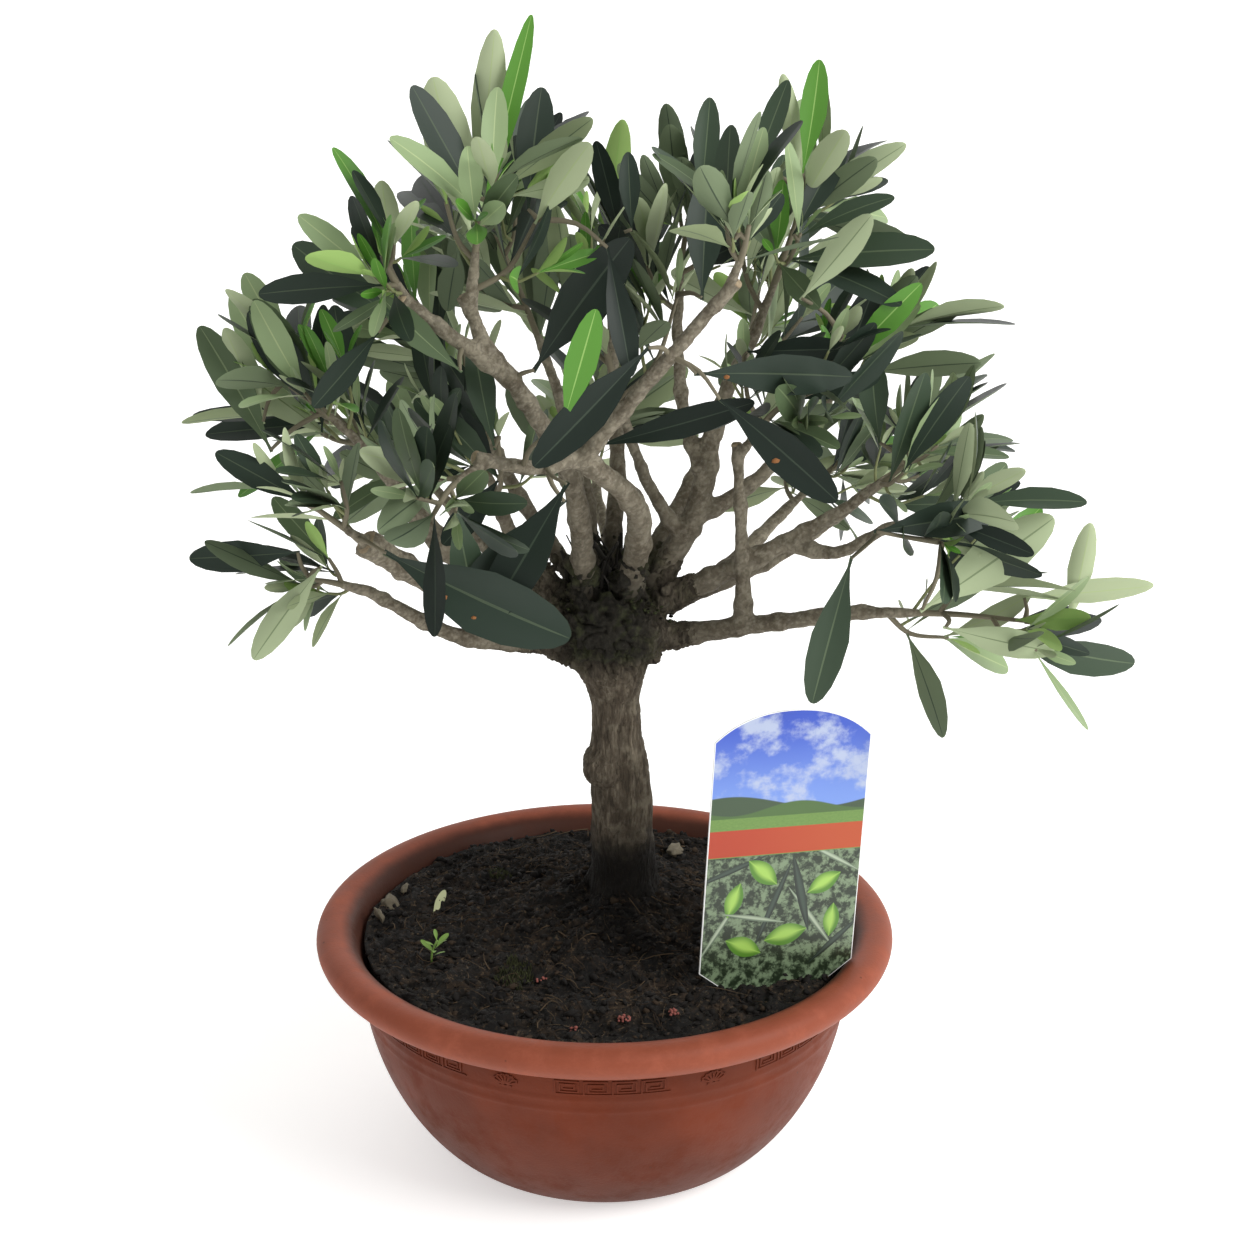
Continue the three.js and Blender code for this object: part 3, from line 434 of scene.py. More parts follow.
def terracotta(settings, name="terracotta_plastic"):
    """Moulded plastic with the look of clay: clouded, specked and dusty, with painted shade that darkens it
    low down and on its left side.
    """
    finish = Finish(name, specular_ior_level=0.16)
    place = finish.place()
    x, y, z = finish.parts(place)
    clouding = finish.patches(place, 0.045, 0.36, 0.68)
    tone = finish.mix(clouding, settings.clay, settings.deep_clay)
    lip = finish.ease(z + 0.004 * finish.cloud(place, 0.01), *LIP_LOOK)
    dust = finish.patches(place, 0.018, 0.42, 0.75, 6, 0.7)
    tone = finish.mix(lip * (0.55 + 0.4 * dust), tone, settings.lip_clay)
    low = 1 - finish.ease(z, *WALL_SHADE_LOW)
    # cloudy blotches with painted shade, stronger low on the wall and on its left side
    stain_and_shade = finish.ease(finish.cloud(place, 0.03, 5, 0.65) + 0.22 * low - 1.6 * x, 0.55, 1.0)
    tone = finish.mix(0.24 * stain_and_shade, tone, settings.grime_and_shade)
    # painted shade: the wall darkens towards its foot
    tone = finish.mix(0.6 * low, tone, tint("47200f"))
    reach = (x * x + y * y) ** 0.5 + 0.003 * finish.cloud(place, 0.012, 4)
    inside = lip * (1 - finish.ease(reach, *LIP_INSIDE))
    tone = finish.mix(0.85 * inside, tone, tint("38251e"))
    speck = 1 - finish.ease(finish.cells(place, 0.0085), 0.05, 0.09)
    rare = finish.patches(place, 0.03, 0.56, 0.62, 1)
    tone = finish.mix(0.85 * speck * rare, tone, settings.grime_and_shade)
    grain = finish.cloud(place, 0.0012, 3) + 0.6 * finish.cloud(place, 0.006, 2)
    return finish.done(tone, 0.5 + 0.22 * dust + 0.08 * stain_and_shade, grain, 0.0003, 0.35)


def potting_soil(settings):
    """Damp dark soil with drier, browner patches."""
    finish = Finish("potting_soil", specular_ior_level=0.3)
    place = finish.place()
    dry = finish.patches(place, 0.009, 0.45, 0.66, 7, 0.78)
    fleck = finish.patches(place, 0.0026, 0.55, 0.68, 3, 0.7)
    tone = finish.mix(0.75 * dry, settings.earth, settings.dry_earth)
    wet = finish.patches(place, 0.024, 0.44, 0.58)
    tone = finish.mix(0.8 * wet, tone, tint("0b0908"))
    tone = finish.mix(0.75 * fleck * (1 - 0.6 * wet), tone, tint("6b5944"))
    return finish.done(tone, 0.72 + 0.25 * dry, finish.cloud(place, 0.0014, 6, 0.8), 0.0016, 1.0)


# The lower picture's leaves: across, up, turn, half length and half breadth in mm, and kind.
MOTIFS = (
    (12, 47, 0.35, 19, 1.3, "slender"), (60, 50, -0.5, 17, 1.2, "silver"), (33, 30, 1.2, 22, 1.5, "slender"),
    (52, 22, -0.9, 20, 1.3, "silver"), (8, 20, 1.0, 18, 1.2, "silver"), (64, 10, 0.7, 16, 1.5, "slender"),
    (27, 45, -0.7, 9.5, 4.6, "lime"), (57, 38, 0.5, 9.0, 4.4, "lime"), (14, 33, 1.25, 8.5, 4.2, "lime"),
    (40, 15, 0.2, 10.5, 5.0, "lime"), (20, 11, -0.4, 9.5, 4.6, "lime"), (62, 20, 1.5, 8.0, 4.0, "lime"),
    (46, 34, -1.3, 20, 2.2, "slender"), (24, 24, -0.2, 16, 1.2, "silver"),
)
MOTIF_COLOURS = {
    "lime": ("4c7d1e", "9cc456"), "slender": ("18221a", "36463a"), "silver": ("5c6d58", "a5b299"),
}


# Shares of the card's height. A hill has a level, a swing, a pace, a start and a colour.
CARD_BAND = {"low": 0.449, "high": 0.551, "edge": 0.003}
HILLS = ((0.655, 0.030, 5.0, 1.0, "34492f"), (0.632, 0.022, 7.5, 3.6, "43622c"))
MEADOW_TOP = 0.60


def printed_card(settings):
    """The card's printed face: hills under a cloudy sky, a plain band, and a sprig pattern."""
    finish = Finish("printed_card", coat_weight=0.15, coat_roughness=0.2)
    sheet = finish.node("ShaderNodeUVMap", {"uv_map": "print"})
    across, up, _ = finish.parts(sheet)

    # the upper picture
    clouds = finish.cloud(finish.stretched(sheet, (1, 1.9, 1)), 0.32, 7, 0.6)
    tone = finish.mix(finish.ease(up, 0.6, 1.0), tint("6f8fd6"), settings.sky)
    tone = finish.mix(finish.ease(clouds, 0.47, 0.62), tone, settings.cloud)
    for level, swing, pace, start, code in HILLS:
        wave = finish.node("ShaderNodeMath", {"operation": "SINE"}, {0: across * pace + start})
        ridge = level + swing * wave
        tone = finish.mix(finish.ease(ridge - up, 0.0, 0.006), tone, tint(code))
    grass = finish.cloud(finish.stretched(sheet, (1, 3, 1)), 0.02, 4)
    meadow = finish.mix(grass, settings.meadow, tint("6f9244"))
    tone = finish.mix(finish.ease(MEADOW_TOP - up, 0.0, 0.004), tone, meadow)

    # the lower picture: broad and slender leaves strewn over a mottled ground
    sheet_mm = finish.stretched(sheet, (CARD["width"], CARD["height"], 1))
    mottle = finish.patches(sheet_mm, 5.0, 0.44, 0.6, 6, 0.7)
    ground = finish.mix(mottle, settings.shade, tint("76896a"))
    x_mm, y_mm, _ = finish.parts(sheet_mm)
    for x, y, turn, half_length, half_breadth, kind in MOTIFS:
        along = (x_mm - x) * math.cos(turn) + (y_mm - y) * math.sin(turn)
        aside = (y_mm - y) * math.cos(turn) - (x_mm - x) * math.sin(turn)
        bulge = (along / half_length) ** 2
        rim = bulge + ((aside / half_breadth) ** 2) ** 0.5
        dark, lit = MOTIF_COLOURS[kind]
        shading = finish.mix(finish.ease(rim - 0.25 * aside / half_breadth, 0.1, 0.9), tint(lit), tint(dark))
        vein = 1 - finish.ease((aside * aside) ** 0.5, 0.15, 0.4)
        shading = finish.mix(0.5 * vein, shading, tint(lit))
        ground = finish.mix(1 - finish.ease(rim, 0.94, 1.02), ground, shading)
    low, high, edge = CARD_BAND.values()
    tone = finish.mix(finish.ease(low - up, 0.0, edge), tone, ground)

    # the band that parts them
    band = finish.ease(up, low, low + edge) * (1 - finish.ease(up, high, high + edge))
    warmth = finish.mix(finish.ease(across, 0.0, 1.0), settings.band, tint("b04412"))
    return finish.done(finish.mix(band, tone, warmth), 0.3 + 0.08 * finish.cloud(sheet, 0.2, 2))


def trunk_bark(settings):
    """Grey-brown bark, black in its fissures and pits, partly its own colour and partly painted shade, damp
    at the foot and mossy round the head.
    """
    finish = Finish("trunk_bark", specular_ior_level=0.3)
    place = finish.place()
    x, _, z = finish.parts(place)
    relief = finish.attribute("relief")
    streak = finish.cloud(finish.stretched(place, (1, 1, 0.22)), 0.0035, 5, 0.65)
    tone = finish.mix(finish.ease(streak, 0.35, 0.68), tint("574d40"), settings.bark)
    fibre = finish.ease(finish.cloud(finish.stretched(place, (1, 1, 0.16)), 0.0011, 5, 0.7), 0.4, 0.6)
    tone = finish.mix(0.55 * (1 - fibre), tone, tint("4a4034"))
    pale = finish.patches(place, 0.009, 0.5, 0.68)
    tone = finish.mix(0.5 * pale, tone, tint("9b917d"))
    wobble = 0.02 * finish.cloud(place, 0.012, 3)
    foot = 1 - finish.ease(z - wobble, *TRUNK_FOOT)
    head = finish.ease(z + wobble, *TRUNK_HEAD)
    mossy = finish.patches(place, 0.008, 0.46, 0.62)
    flank = finish.ease(((x - 0.002) * (x - 0.002)) ** 0.5, *HEAD_FLANK)
    crust = finish.mix(0.7 * mossy, settings.damp, settings.moss)
    tone = finish.mix(head * (0.95 - 0.5 * flank), tone, crust)
    tone = finish.mix(0.96 * foot, tone, tint("110e0b"))
    # fissures and the head's pits darkened from the carved relief: partly the bark's own colour, partly
    # painted shade
    crack = 1 - finish.ease(relief, 0.1, 0.5)
    tone = finish.mix(0.45 * crack + 0.4 * crack * head, tone, settings.fissure_and_shade)
    return finish.done(tone, 0.92 - 0.25 * foot, fibre + finish.cloud(place, 0.0011, 4, 0.7), 0.0007, 0.9)


def bough_bark(settings):
    """Smoother, paler bark, with darker blotches and fine pores darkened partly by painted shade; painted
    shade also darkens the boughs inside the crown, near the head.
    """
    finish = Finish("bough_bark", specular_ior_level=0.3)
    place = finish.place()
    relief = finish.attribute("relief")
    blotch = finish.patches(place, 0.011, 0.4, 0.66, 5, 0.6)
    tone = finish.mix(0.8 * blotch, settings.bough, tint("5b5244"))
    tone = finish.mix(0.45 * finish.patches(place, 0.0025, 0.4, 0.7), tone, tint("b3ab99"))
    x, y, z = finish.parts(finish.stretched(place, (1000, 1000, 1000)))
    # painted shade: boughs near the head, inside the crown, are darkened
    reach = (x * x + y * y + (z - BOUGH_CROWN_SHADE["level"]) ** 2) ** 0.5
    inner = 1 - finish.ease(reach, *BOUGH_CROWN_SHADE["reach"])
    tone = finish.mix(0.62 * inner, tone, tint("3f382c"))
    tone = finish.mix(0.75 * (1 - finish.ease(reach, *BOUGH_CROWN_SHADE["dark"])), tone, tint("211e17"))
    # pores and hollows darkened from the carved relief: partly their own colour, partly painted shade
    tone = finish.mix(0.35 * (1 - finish.ease(relief, 0.1, 0.6)), tone, tint("423b31"))
    return finish.done(tone, 0.82 + 0.1 * blotch, finish.cloud(place, 0.0012, 5, 0.7), 0.0007, 0.9)


def cut_wood(settings):
    """The weathered ends of sawn stubs."""
    finish = Finish("cut_wood")
    place = finish.place()
    tone = finish.mix(finish.cloud(place, 0.0018, 4, 0.6), settings.cut, tint("6f5f49"))
    return finish.done(tone, 0.85, finish.cloud(place, 0.0009, 3), 0.0003, 0.5)


def pebble(name, low, high):
    """A small stone with a mottled face."""
    finish = Finish(name)
    place = finish.place()
    tone = finish.mix(finish.cloud(place, 0.003, 5, 0.7), tint(low), tint(high))
    return finish.done(
        tone, 0.8 + 0.1 * finish.cloud(place, 0.004), finish.cloud(place, 0.0012, 4), 0.0005, 0.6)


# Each kind of leaf: the colours of its upper side, its underside and its midrib.
LEAF_KINDS = {
    "dark": ("27342a", "717f62", "3d4b36"),
    "deep": ("1b261f", "626f57", "2c3a2b"),
    "olive": ("3a4a38", "8a9772", "56664a"),
    "grey": ("556648", "a3b08c", "75855f"),
    "pale": ("8fa377", "adb994", "a8b886"),
    "fresh": ("568a33", "93b266", "8bb25c"),
}


def leaf_finishes(kind):
    upper, under, rib = (tint(code) for code in LEAF_KINDS[kind])
    return [
        plain(f"leaf_{kind}_upper", upper, 0.44, specular_ior_level=0.3),
        plain(f"leaf_{kind}_under", under, 0.75, specular_ior_level=0.2),
        plain(f"leaf_{kind}_rib", rib, 0.6),
    ]


# ---------------------------------------------------------------- curves and repeatable chance


def seeded(seed):
    """Repeatable random numbers from 0 to 1, the same as the solids draw."""
    mask = 0xFFFFFFFF
    state = seed & mask

    def draw():
        nonlocal state
        state = (state + 0x6D2B79F5) & mask
        mixed = ((state ^ (state >> 15)) * (state | 1)) & mask
        mixed ^= (mixed + (mixed ^ (mixed >> 7)) * (mixed | 61)) & mask
        return ((mixed ^ (mixed >> 14)) & mask) / (mask + 1)

    return draw


def lerp(low, high, share):
    return low + (high - low) * share


class Curve:
    """A smooth centripetal curve through a route's points, measured by its length."""

    SAMPLES = 120

    def __init__(self, route):
        self.route = [Vector(place) for place in route]
        places = [self.point(i / self.SAMPLES) for i in range(self.SAMPLES + 1)]
        self.lengths = [0.0]
        for before, after in zip(places, places[1:]):
            self.lengths.append(self.lengths[-1] + (after - before).length)
        self.length = self.lengths[-1]

    def point(self, t):
        route = self.route
        spans = len(route) - 1
        start = min(int(spans * t), spans - 1)
        share = spans * t - start
        b, c = route[start], route[start + 1]
        a = route[start - 1] if start else 2 * b - c
        d = route[start + 2] if start + 2 <= spans else 2 * c - b
        first, middle, last = ((q - p).length ** 0.5 for p, q in ((a, b), (b, c), (c, d)))
        leave = ((b - a) / first - (c - a) / (first + middle) + (c - b) / middle) * middle
        arrive = ((c - b) / middle - (d - b) / (middle + last) + (d - c) / last) * middle
        bend = 3 * (c - b) - 2 * leave - arrive
        ease = 2 * (b - c) + leave + arrive
        return b + leave * share + bend * share ** 2 + ease * share ** 3

    def _time_at(self, along):
        target = along * self.length
        low = min(bisect.bisect_right(self.lengths, target) - 1, self.SAMPLES - 1)
        span = self.lengths[low + 1] - self.lengths[low]
        return (low + (target - self.lengths[low]) / span) / self.SAMPLES

    def at(self, along):
        return self.point(self._time_at(along))

    def heading(self, along):
        time = self._time_at(along)
        low, high = max(0, time - 1e-3), min(1, time + 1e-3)
        return (self.point(high) - self.point(low)).normalized()


# ---------------------------------------------------------------- small forms and heaps of them


class Form:
    """A closed mesh kept as arrays, ready to be bent and copied."""

    def __init__(self, mesh):
        mesh.verts.index_update()
        self.places = np.array([v.co for v in mesh.verts])
        self.faces = [tuple(v.index for v in face.verts) for face in mesh.faces]
        self.kinds = [face.material_index for face in mesh.faces]
        mesh.free()


class Heap:
    """Bent copies of forms, gathered into one joined mesh."""

    def __init__(self):
        self.places, self.faces, self.kinds, self.count = [], [], [], 0

    def add(self, form, places, kind=None):
        offset = self.count
        self.places.append(places)
        self.faces.extend(tuple(corner + offset for corner in face) for face in form.faces)
        self.kinds.extend(form.kinds if kind is None else [kind] * len(form.faces))
        self.count += len(places)

    def mesh(self, name):
        made = bpy.data.meshes.new(name)
        places = np.concatenate(self.places) * MM
        made.from_pydata(places.tolist(), [], self.faces)
        made.polygons.foreach_set("material_index", self.kinds)
        made.polygons.foreach_set("use_smooth", [True] * len(self.faces))
        made.set_sharp_from_angle(angle=math.radians(100))
        made.update()
        return made


def unit_rod(sides, rings):
    """A closed rod of radius 1 along +Z from 0 to 1, with rings of corners along it."""
    mesh = bmesh.new()
    bmesh.ops.create_cone(
        mesh, cap_ends=True, cap_tris=False, segments=sides, radius1=1, radius2=1, depth=1)
    bmesh.ops.translate(mesh, verts=mesh.verts, vec=(0, 0, 0.5))
    uprights = [e for e in mesh.edges if abs(e.verts[0].co.z - e.verts[1].co.z) > 0.5]
    bmesh.ops.subdivide_edges(mesh, edges=uprights, cuts=rings - 1)
    return Form(mesh)


def unit_ball(detail):
    mesh = bmesh.new()
    bmesh.ops.create_icosphere(mesh, subdivisions=detail, radius=1)
    return Form(mesh)


def unit_box(pieces):
    """A box of side 1 about the origin, cut into lengths along X so that it can bend."""
    mesh = bmesh.new()
    bmesh.ops.create_cube(mesh, size=1)
    along = [e for e in mesh.edges if abs(e.verts[0].co.x - e.verts[1].co.x) > 0.5]
    bmesh.ops.subdivide_edges(mesh, edges=along, cuts=pieces - 1)
    return Form(mesh)


def unit_leaf():
    """A thin closed blade from y 0 to 1, x -1 to 1: upper side 0, underside 1, midrib 2."""
    columns = (-1.0, -0.55, -0.045, 0.045, 0.55, 1.0)
    stations = (0.0, 0.08, 0.2, 0.36, 0.54, 0.72, 0.86, 0.95, 0.99, 1.0)
    mesh = bmesh.new()
    bmesh.ops.create_grid(mesh, x_segments=len(columns) - 1, y_segments=len(stations) - 1, size=0.5)
    for vert in mesh.verts:
        column = round((vert.co.x + 0.5) * (len(columns) - 1))
        station = round((vert.co.y + 0.5) * (len(stations) - 1))
        vert.co = Vector((columns[column], stations[station], 0))
    for face in mesh.faces:
        face.material_index = 2 if abs(face.calc_center_median().x) < 0.1 else 0
    upper = list(mesh.faces)
    under = bmesh.ops.duplicate(mesh, geom=upper)["geom"]
    under_faces = [item for item in under if isinstance(item, bmesh.types.BMFace)]
    under_verts = [item for item in under if isinstance(item, bmesh.types.BMVert)]
    for face in under_faces:
        face.material_index = max(1, face.material_index)
    bmesh.ops.reverse_faces(mesh, faces=under_faces)
    for vert in under_verts:
        inner = abs(vert.co.x) < 0.99 and 0.001 < vert.co.y < 0.999
        vert.co.z = -1.0 if inner else 0.0
    bmesh.ops.remove_doubles(mesh, verts=mesh.verts, dist=1e-4)
    return Form(mesh)


def swept(rod, curve, radius_at, to_along=1.0):
    """The rod's corners laid along a curve, with a radius that changes along it."""
    stops = np.unique(rod.places[:, 2].round(5))
    centres, sides, lifts, radii = [], [], [], []
    side = None
    for stop in stops:
        along = to_along * float(stop)
        heading = curve.heading(along)
        helper = UP if abs(heading.z) < 0.95 else Vector((1, 0, 0))
        side = heading.cross(helper) if side is None else side - heading * side.dot(heading)
        side.normalize()
        centres.append(curve.at(along))
        sides.append(side.copy())
        lifts.append(heading.cross(side))
        radii.append(radius_at(along))
    ring = np.searchsorted(stops, rod.places[:, 2].round(5))
    radius = np.array(radii)[ring, None]
    spread = rod.places[:, 0, None] * np.array(sides)[ring] + rod.places[:, 1, None] * np.array(lifts)[ring]
    return np.array(centres)[ring] + radius * spread


def settle(name, mesh, finishes, replaced=()):
    """A finished mesh becomes a piece of the plant in its pot."""
    for finish in finishes:
        mesh.materials.append(finish)
    piece = bpy.data.objects.new(name, mesh)
    bpy.context.scene.collection.objects.link(piece)
    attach(piece, BODY)
    if replaced:
        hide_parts(*replaced)


def smooth_mesh(shape, name):
    """A bmesh becomes a smooth mesh of the same size."""
    for face in shape.faces:
        face.smooth = True
    mesh = bpy.data.meshes.new(name)
    shape.to_mesh(mesh)
    shape.free()
    return mesh


def mesh_of(shape, name):
    """A bmesh in millimetres becomes a smooth mesh in metres."""
    bmesh.ops.scale(shape, verts=shape.verts, vec=(MM, MM, MM))
    return smooth_mesh(shape, name)


def spun(profile, segments):
    """A closed solid of revolution from a profile of radius and height."""
    shape = bmesh.new()
    verts = [shape.verts.new((radius, 0, height)) for radius, height in profile]
    edges = [shape.edges.new(pair) for pair in zip(verts, verts[1:])]
    bmesh.ops.spin(
        shape, geom=verts + edges, cent=(0, 0, 0), axis=(0, 0, 1), angle=2 * math.pi,
        steps=segments, use_merge=True, use_duplicate=False)
    bmesh.ops.remove_doubles(shape, verts=shape.verts, dist=1e-3)
    bmesh.ops.recalc_face_normals(shape, faces=shape.faces)
    return shape


# ---------------------------------------------------------------- the bowl

RING_LINES = ((77.4, 0.55), (71.8, 0.45))  # height, and how far each stands out
RING_WIDTH = 0.75
KEY = {
    "repeats": 8, "turn": 1.5, "units": 4, "unit_width": 12.2, "height": 6.2, "rows": 5, "base": 80.6,
    "shift": 1.2, "stroke": 0.62,
}
KEY_PATH = [(0, 0), (0, 5), (8, 5), (8, 1), (1.6, 1), (1.6, 3.9), (6.6, 3.9), (6.6, 2.1), (3, 2.1)]
SHELL = {
    "ribs": 7, "spread": 128.0, "length": 5.0, "stroke": 0.8, "hinge_rise": 0.3, "stretch": 1.15,
    "hub": 0.22, "scallop": 0.7, "edge_share": 0.8, "hinge_half": 2.4, "hinge_drop": 0.2,
}
FOOT = {"ring": 62.0, "recess": 1.4}
BITE = 0.6  # how deep the raised lines reach into the wall


def wall_radius(height):
    rise = math.sin(min(1.0, height / POT["lip_bottom"]) * math.pi / 2)
    return POT["base"] + (POT["wall"] - POT["base"]) * rise ** POT["bulge"]


def ring_relief(height):
    return sum(out * math.exp(-((height - level) / RING_WIDTH) ** 2) for level, out in RING_LINES)


def rounded(points, cuts):
    """A profile with each stretch cut finer along a smooth curve through its points."""
    curve = Curve([(radius, 0, height) for radius, height in points])
    count = cuts * (len(points) - 1)
    return [(place.x, place.z) for place in (curve.at(i / count) for i in range(count + 1))]


WALL = {"steps": 110, "closer_low_down": 1.5, "below_lip": 0.6, "inside_top": 91, "inside_steps": 16}


def bowl_profile():
    """From the middle of the underside, up the wall, over the lip and down to the floor."""
    top, steps = POT["lip_bottom"] - WALL["below_lip"], WALL["steps"]
    heights = [top * (i / steps) ** WALL["closer_low_down"] for i in range(1, steps + 1)]
    outside = [(wall_radius(h) + ring_relief(h), h) for h in heights]
    levels = np.linspace(WALL["inside_top"], POT["floor"], WALL["inside_steps"])
    inside = [(wall_radius(h) - POT["thickness"], h) for h in levels]
    foot = [(0, FOOT["recess"]), (FOOT["ring"] - 1.5, FOOT["recess"]), (FOOT["ring"], 0.2)]
    foot += [(FOOT["ring"] + 0.6, 0.0), (POT["base"] + 1.2, 0.0), (POT["base"] + 4.2, 0.35)]
    outside = [place for place in outside if place[0] > POT["base"] + 6]
    return foot + outside + rounded(LIP, 4) + inside + [(0, POT["floor"])]


def on_wall(places, centre_angle, stand_out):
    """Flat places (along the band, out of it, up it) laid on the bowl's wall."""
    laid = np.empty_like(places)
    for row, (along, out, height) in enumerate(places):
        radius = wall_radius(height) + (stand_out if out > 0 else -BITE)
        angle = centre_angle + along / POT["wall"]
        laid[row] = (radius * math.sin(angle), -radius * math.cos(angle), height)
    return laid


class Relief:
    """Raised lines on the bowl's wall, drawn about one place round it."""

    def __init__(self, heap, centre_angle, stand_out):
        self.heap, self.box = heap, unit_box(3)
        self.centre_angle, self.stand_out = centre_angle, stand_out

    def stroke(self, start, end, width):
        """One raised line between two places in the band."""
        start, end = Vector(start), Vector(end)
        run = end - start
        turn = math.atan2(run.y, run.x)
        local = self.box.places * np.array((run.length + width, 1, width))
        along = local[:, 0] * math.cos(turn) - local[:, 2] * math.sin(turn) + (start.x + end.x) / 2
        height = local[:, 0] * math.sin(turn) + local[:, 2] * math.cos(turn) + (start.y + end.y) / 2
        flat = np.stack((along, -local[:, 1], height), axis=1)
        self.heap.add(self.box, on_wall(flat, self.centre_angle, self.stand_out))

    def add_key(self):
        """A run of key pattern: the same angular spiral, side by side, between two lines."""
        pitch = KEY["height"] / KEY["rows"]
        for unit in range(KEY["units"]):
            left = (unit - KEY["units"] / 2) * KEY["unit_width"] + KEY["shift"]
            corners = [(left + x * pitch, KEY["base"] + y * pitch) for x, y in KEY_PATH]
            for start, end in zip(corners, corners[1:]):
                self.stroke(start, end, KEY["stroke"])
            self.stroke(corners[0], (left + KEY["unit_width"], KEY["base"]), KEY["stroke"])

    def add_shell(self):
        """A scallop shell: ribs that fan out from its hinge, joined by a scalloped edge."""
        hinge = Vector((0, KEY["base"] + SHELL["hinge_rise"]))
        half = math.radians(SHELL["spread"]) / 2
        ends = []
        for rib in range(SHELL["ribs"]):
            angle = lerp(-half, half, rib / (SHELL["ribs"] - 1))
            reach = Vector((math.sin(angle) * SHELL["stretch"], math.cos(angle))) * SHELL["length"]
            ends.append(hinge + reach)
            self.stroke(hinge + reach * SHELL["hub"], hinge + reach, SHELL["stroke"])
        for left, right in zip(ends, ends[1:]):
            middle = (left + right) / 2
            bulge = middle + (middle - hinge).normalized() * SHELL["scallop"]
            self.stroke(left, bulge, SHELL["stroke"] * SHELL["edge_share"])
            self.stroke(bulge, right, SHELL["stroke"] * SHELL["edge_share"])
        foot = [hinge + Vector((side * SHELL["hinge_half"], -SHELL["hinge_drop"])) for side in (-1, 1)]
        self.stroke(*foot, SHELL["stroke"])


class OLIVE_OT_bowl(bpy.types.Operator):
    """Spin the bowl with its rolled lip and raised rings"""

    bl_idname = "olive.bowl"
    bl_label = "Bowl"

    def execute(self, context):
        settings = context.scene.olive_bowl
        mesh = mesh_of(spun(bowl_profile(), settings.segments), "bowl")
        settle("bowl", mesh, [terracotta(settings)], ["pot"])
        return {"FINISHED"}


class OLIVE_OT_band(bpy.types.Operator):
    """Lay the key pattern and the shells round the bowl, under its lip"""

    bl_idname = "olive.band"
    bl_label = "Key pattern and shells"

    def execute(self, context):
        settings = context.scene.olive_bowl
        heap, stand_out = Heap(), settings.relief / MM
        step = 2 * math.pi / KEY["repeats"]
        for repeat in range(KEY["repeats"]):
            centre = math.radians(KEY["turn"]) + repeat * step
            Relief(heap, centre, stand_out).add_key()
            Relief(heap, centre + step / 2, stand_out).add_shell()
        mesh = heap.mesh("bowl_band")
        mesh.polygons.foreach_set("use_smooth", [False] * len(mesh.polygons))
        finish = terracotta(settings, "terracotta_relief")
        settle("bowl_band", mesh, [finish])
        return {"FINISHED"}


# ---------------------------------------------------------------- the soil


# The soil's lumps: how high, how wide, and where along X their chance starts.
LUMPS = ((4.4, 19, 0), (2.2, 7.5, 9), (2.0, 3.3, 0), (1.2, 1.6, 0))
SOIL_SKIN = {"rings": 116, "steps": 400, "side_gap": 0.7, "floor_gap": 0.5, "side_top": 96}


def soil_height(x, y):
    """The height of the soil's lumpy top: a mound that rises to the trunk."""
    shift_x, shift_y = TRUNK["foot"][0], TRUNK["foot"][1]
    radius = math.hypot(x, y)
    inward = max(0.0, 1 - radius / SOIL["rim"])
    radius = math.hypot(x - shift_x * inward, y - shift_y * inward)
    inward = min(1.0, max(0.0, (SOIL["rim"] - radius) / (SOIL["rim"] - SOIL["seat_radius"])))
    rise = 0.3 * inward ** 0.5 + 0.7 * inward ** 2.6
    place = Vector((x, y, 0))
    lumps = sum(high * noise.noise(place / wide + Vector((start, 0, 0))) for high, wide, start in LUMPS)
    hollow = min(1.0, (SOIL["rim"] - math.hypot(x, y)) / 5)
    return SOIL["edge"] + (SOIL["seat"] - SOIL["edge"]) * rise + lumps * max(0.25, hollow)


def soil_mesh():
    rings, bottom = SOIL_SKIN["rings"], POT["floor"] + SOIL_SKIN["floor_gap"]
    top = [(SOIL["rim"] * (1 - i / rings), SOIL["edge"]) for i in range(rings)]
    levels = np.linspace(bottom, SOIL_SKIN["side_top"], 7)
    side = [(wall_radius(h) - POT["thickness"] - SOIL_SKIN["side_gap"], h) for h in levels]
    shape = spun([(0, bottom), *side, *top, (0, SOIL["edge"])], SOIL_SKIN["steps"])
    for vert in shape.verts:
        if vert.co.z > SOIL["edge"] - 1:
            vert.co.z = soil_height(vert.co.x, vert.co.y)
    return mesh_of(shape, "soil")


TRUNK_CLEARING = 14  # nothing loose is strewn nearer than this to the trunk's axis


def scattered(draw, count, most=1.0):
    """Places strewn evenly over the soil, clear of the trunk."""
    places = []
    while len(places) < count:
        radius = math.sqrt(draw()) * SOIL["rim"] * most
        angle = 2 * math.pi * draw()
        x, y = radius * math.cos(angle), radius * math.sin(angle)
        if math.hypot(x - TRUNK["foot"][0], y - TRUNK["foot"][1]) > TRUNK_CLEARING:
            places.append((x, y))
    return places


def tumbled(draw, size, stretch):
    """A random turn and size for a crumb."""
    turn = Matrix.Rotation(FULL_TURN * draw(), 3, "Z") @ Matrix.Rotation(FULL_TURN * draw(), 3, "X")
    across, high = lerp(0.6, 1, draw()), lerp(0.45, 0.9, draw())
    return turn @ Matrix.Diagonal((size * stretch, size * across, size * high))


def rough_ball(detail, roughness, seed):
    """A ball with dents and lumps, for crumbs and stones."""
    form = unit_ball(detail)
    for row, place in enumerate(form.places):
        form.places[row] = place * (1 + roughness * noise.noise(Vector(place) * 1.7 + Vector((seed, 0, 0))))
    return form


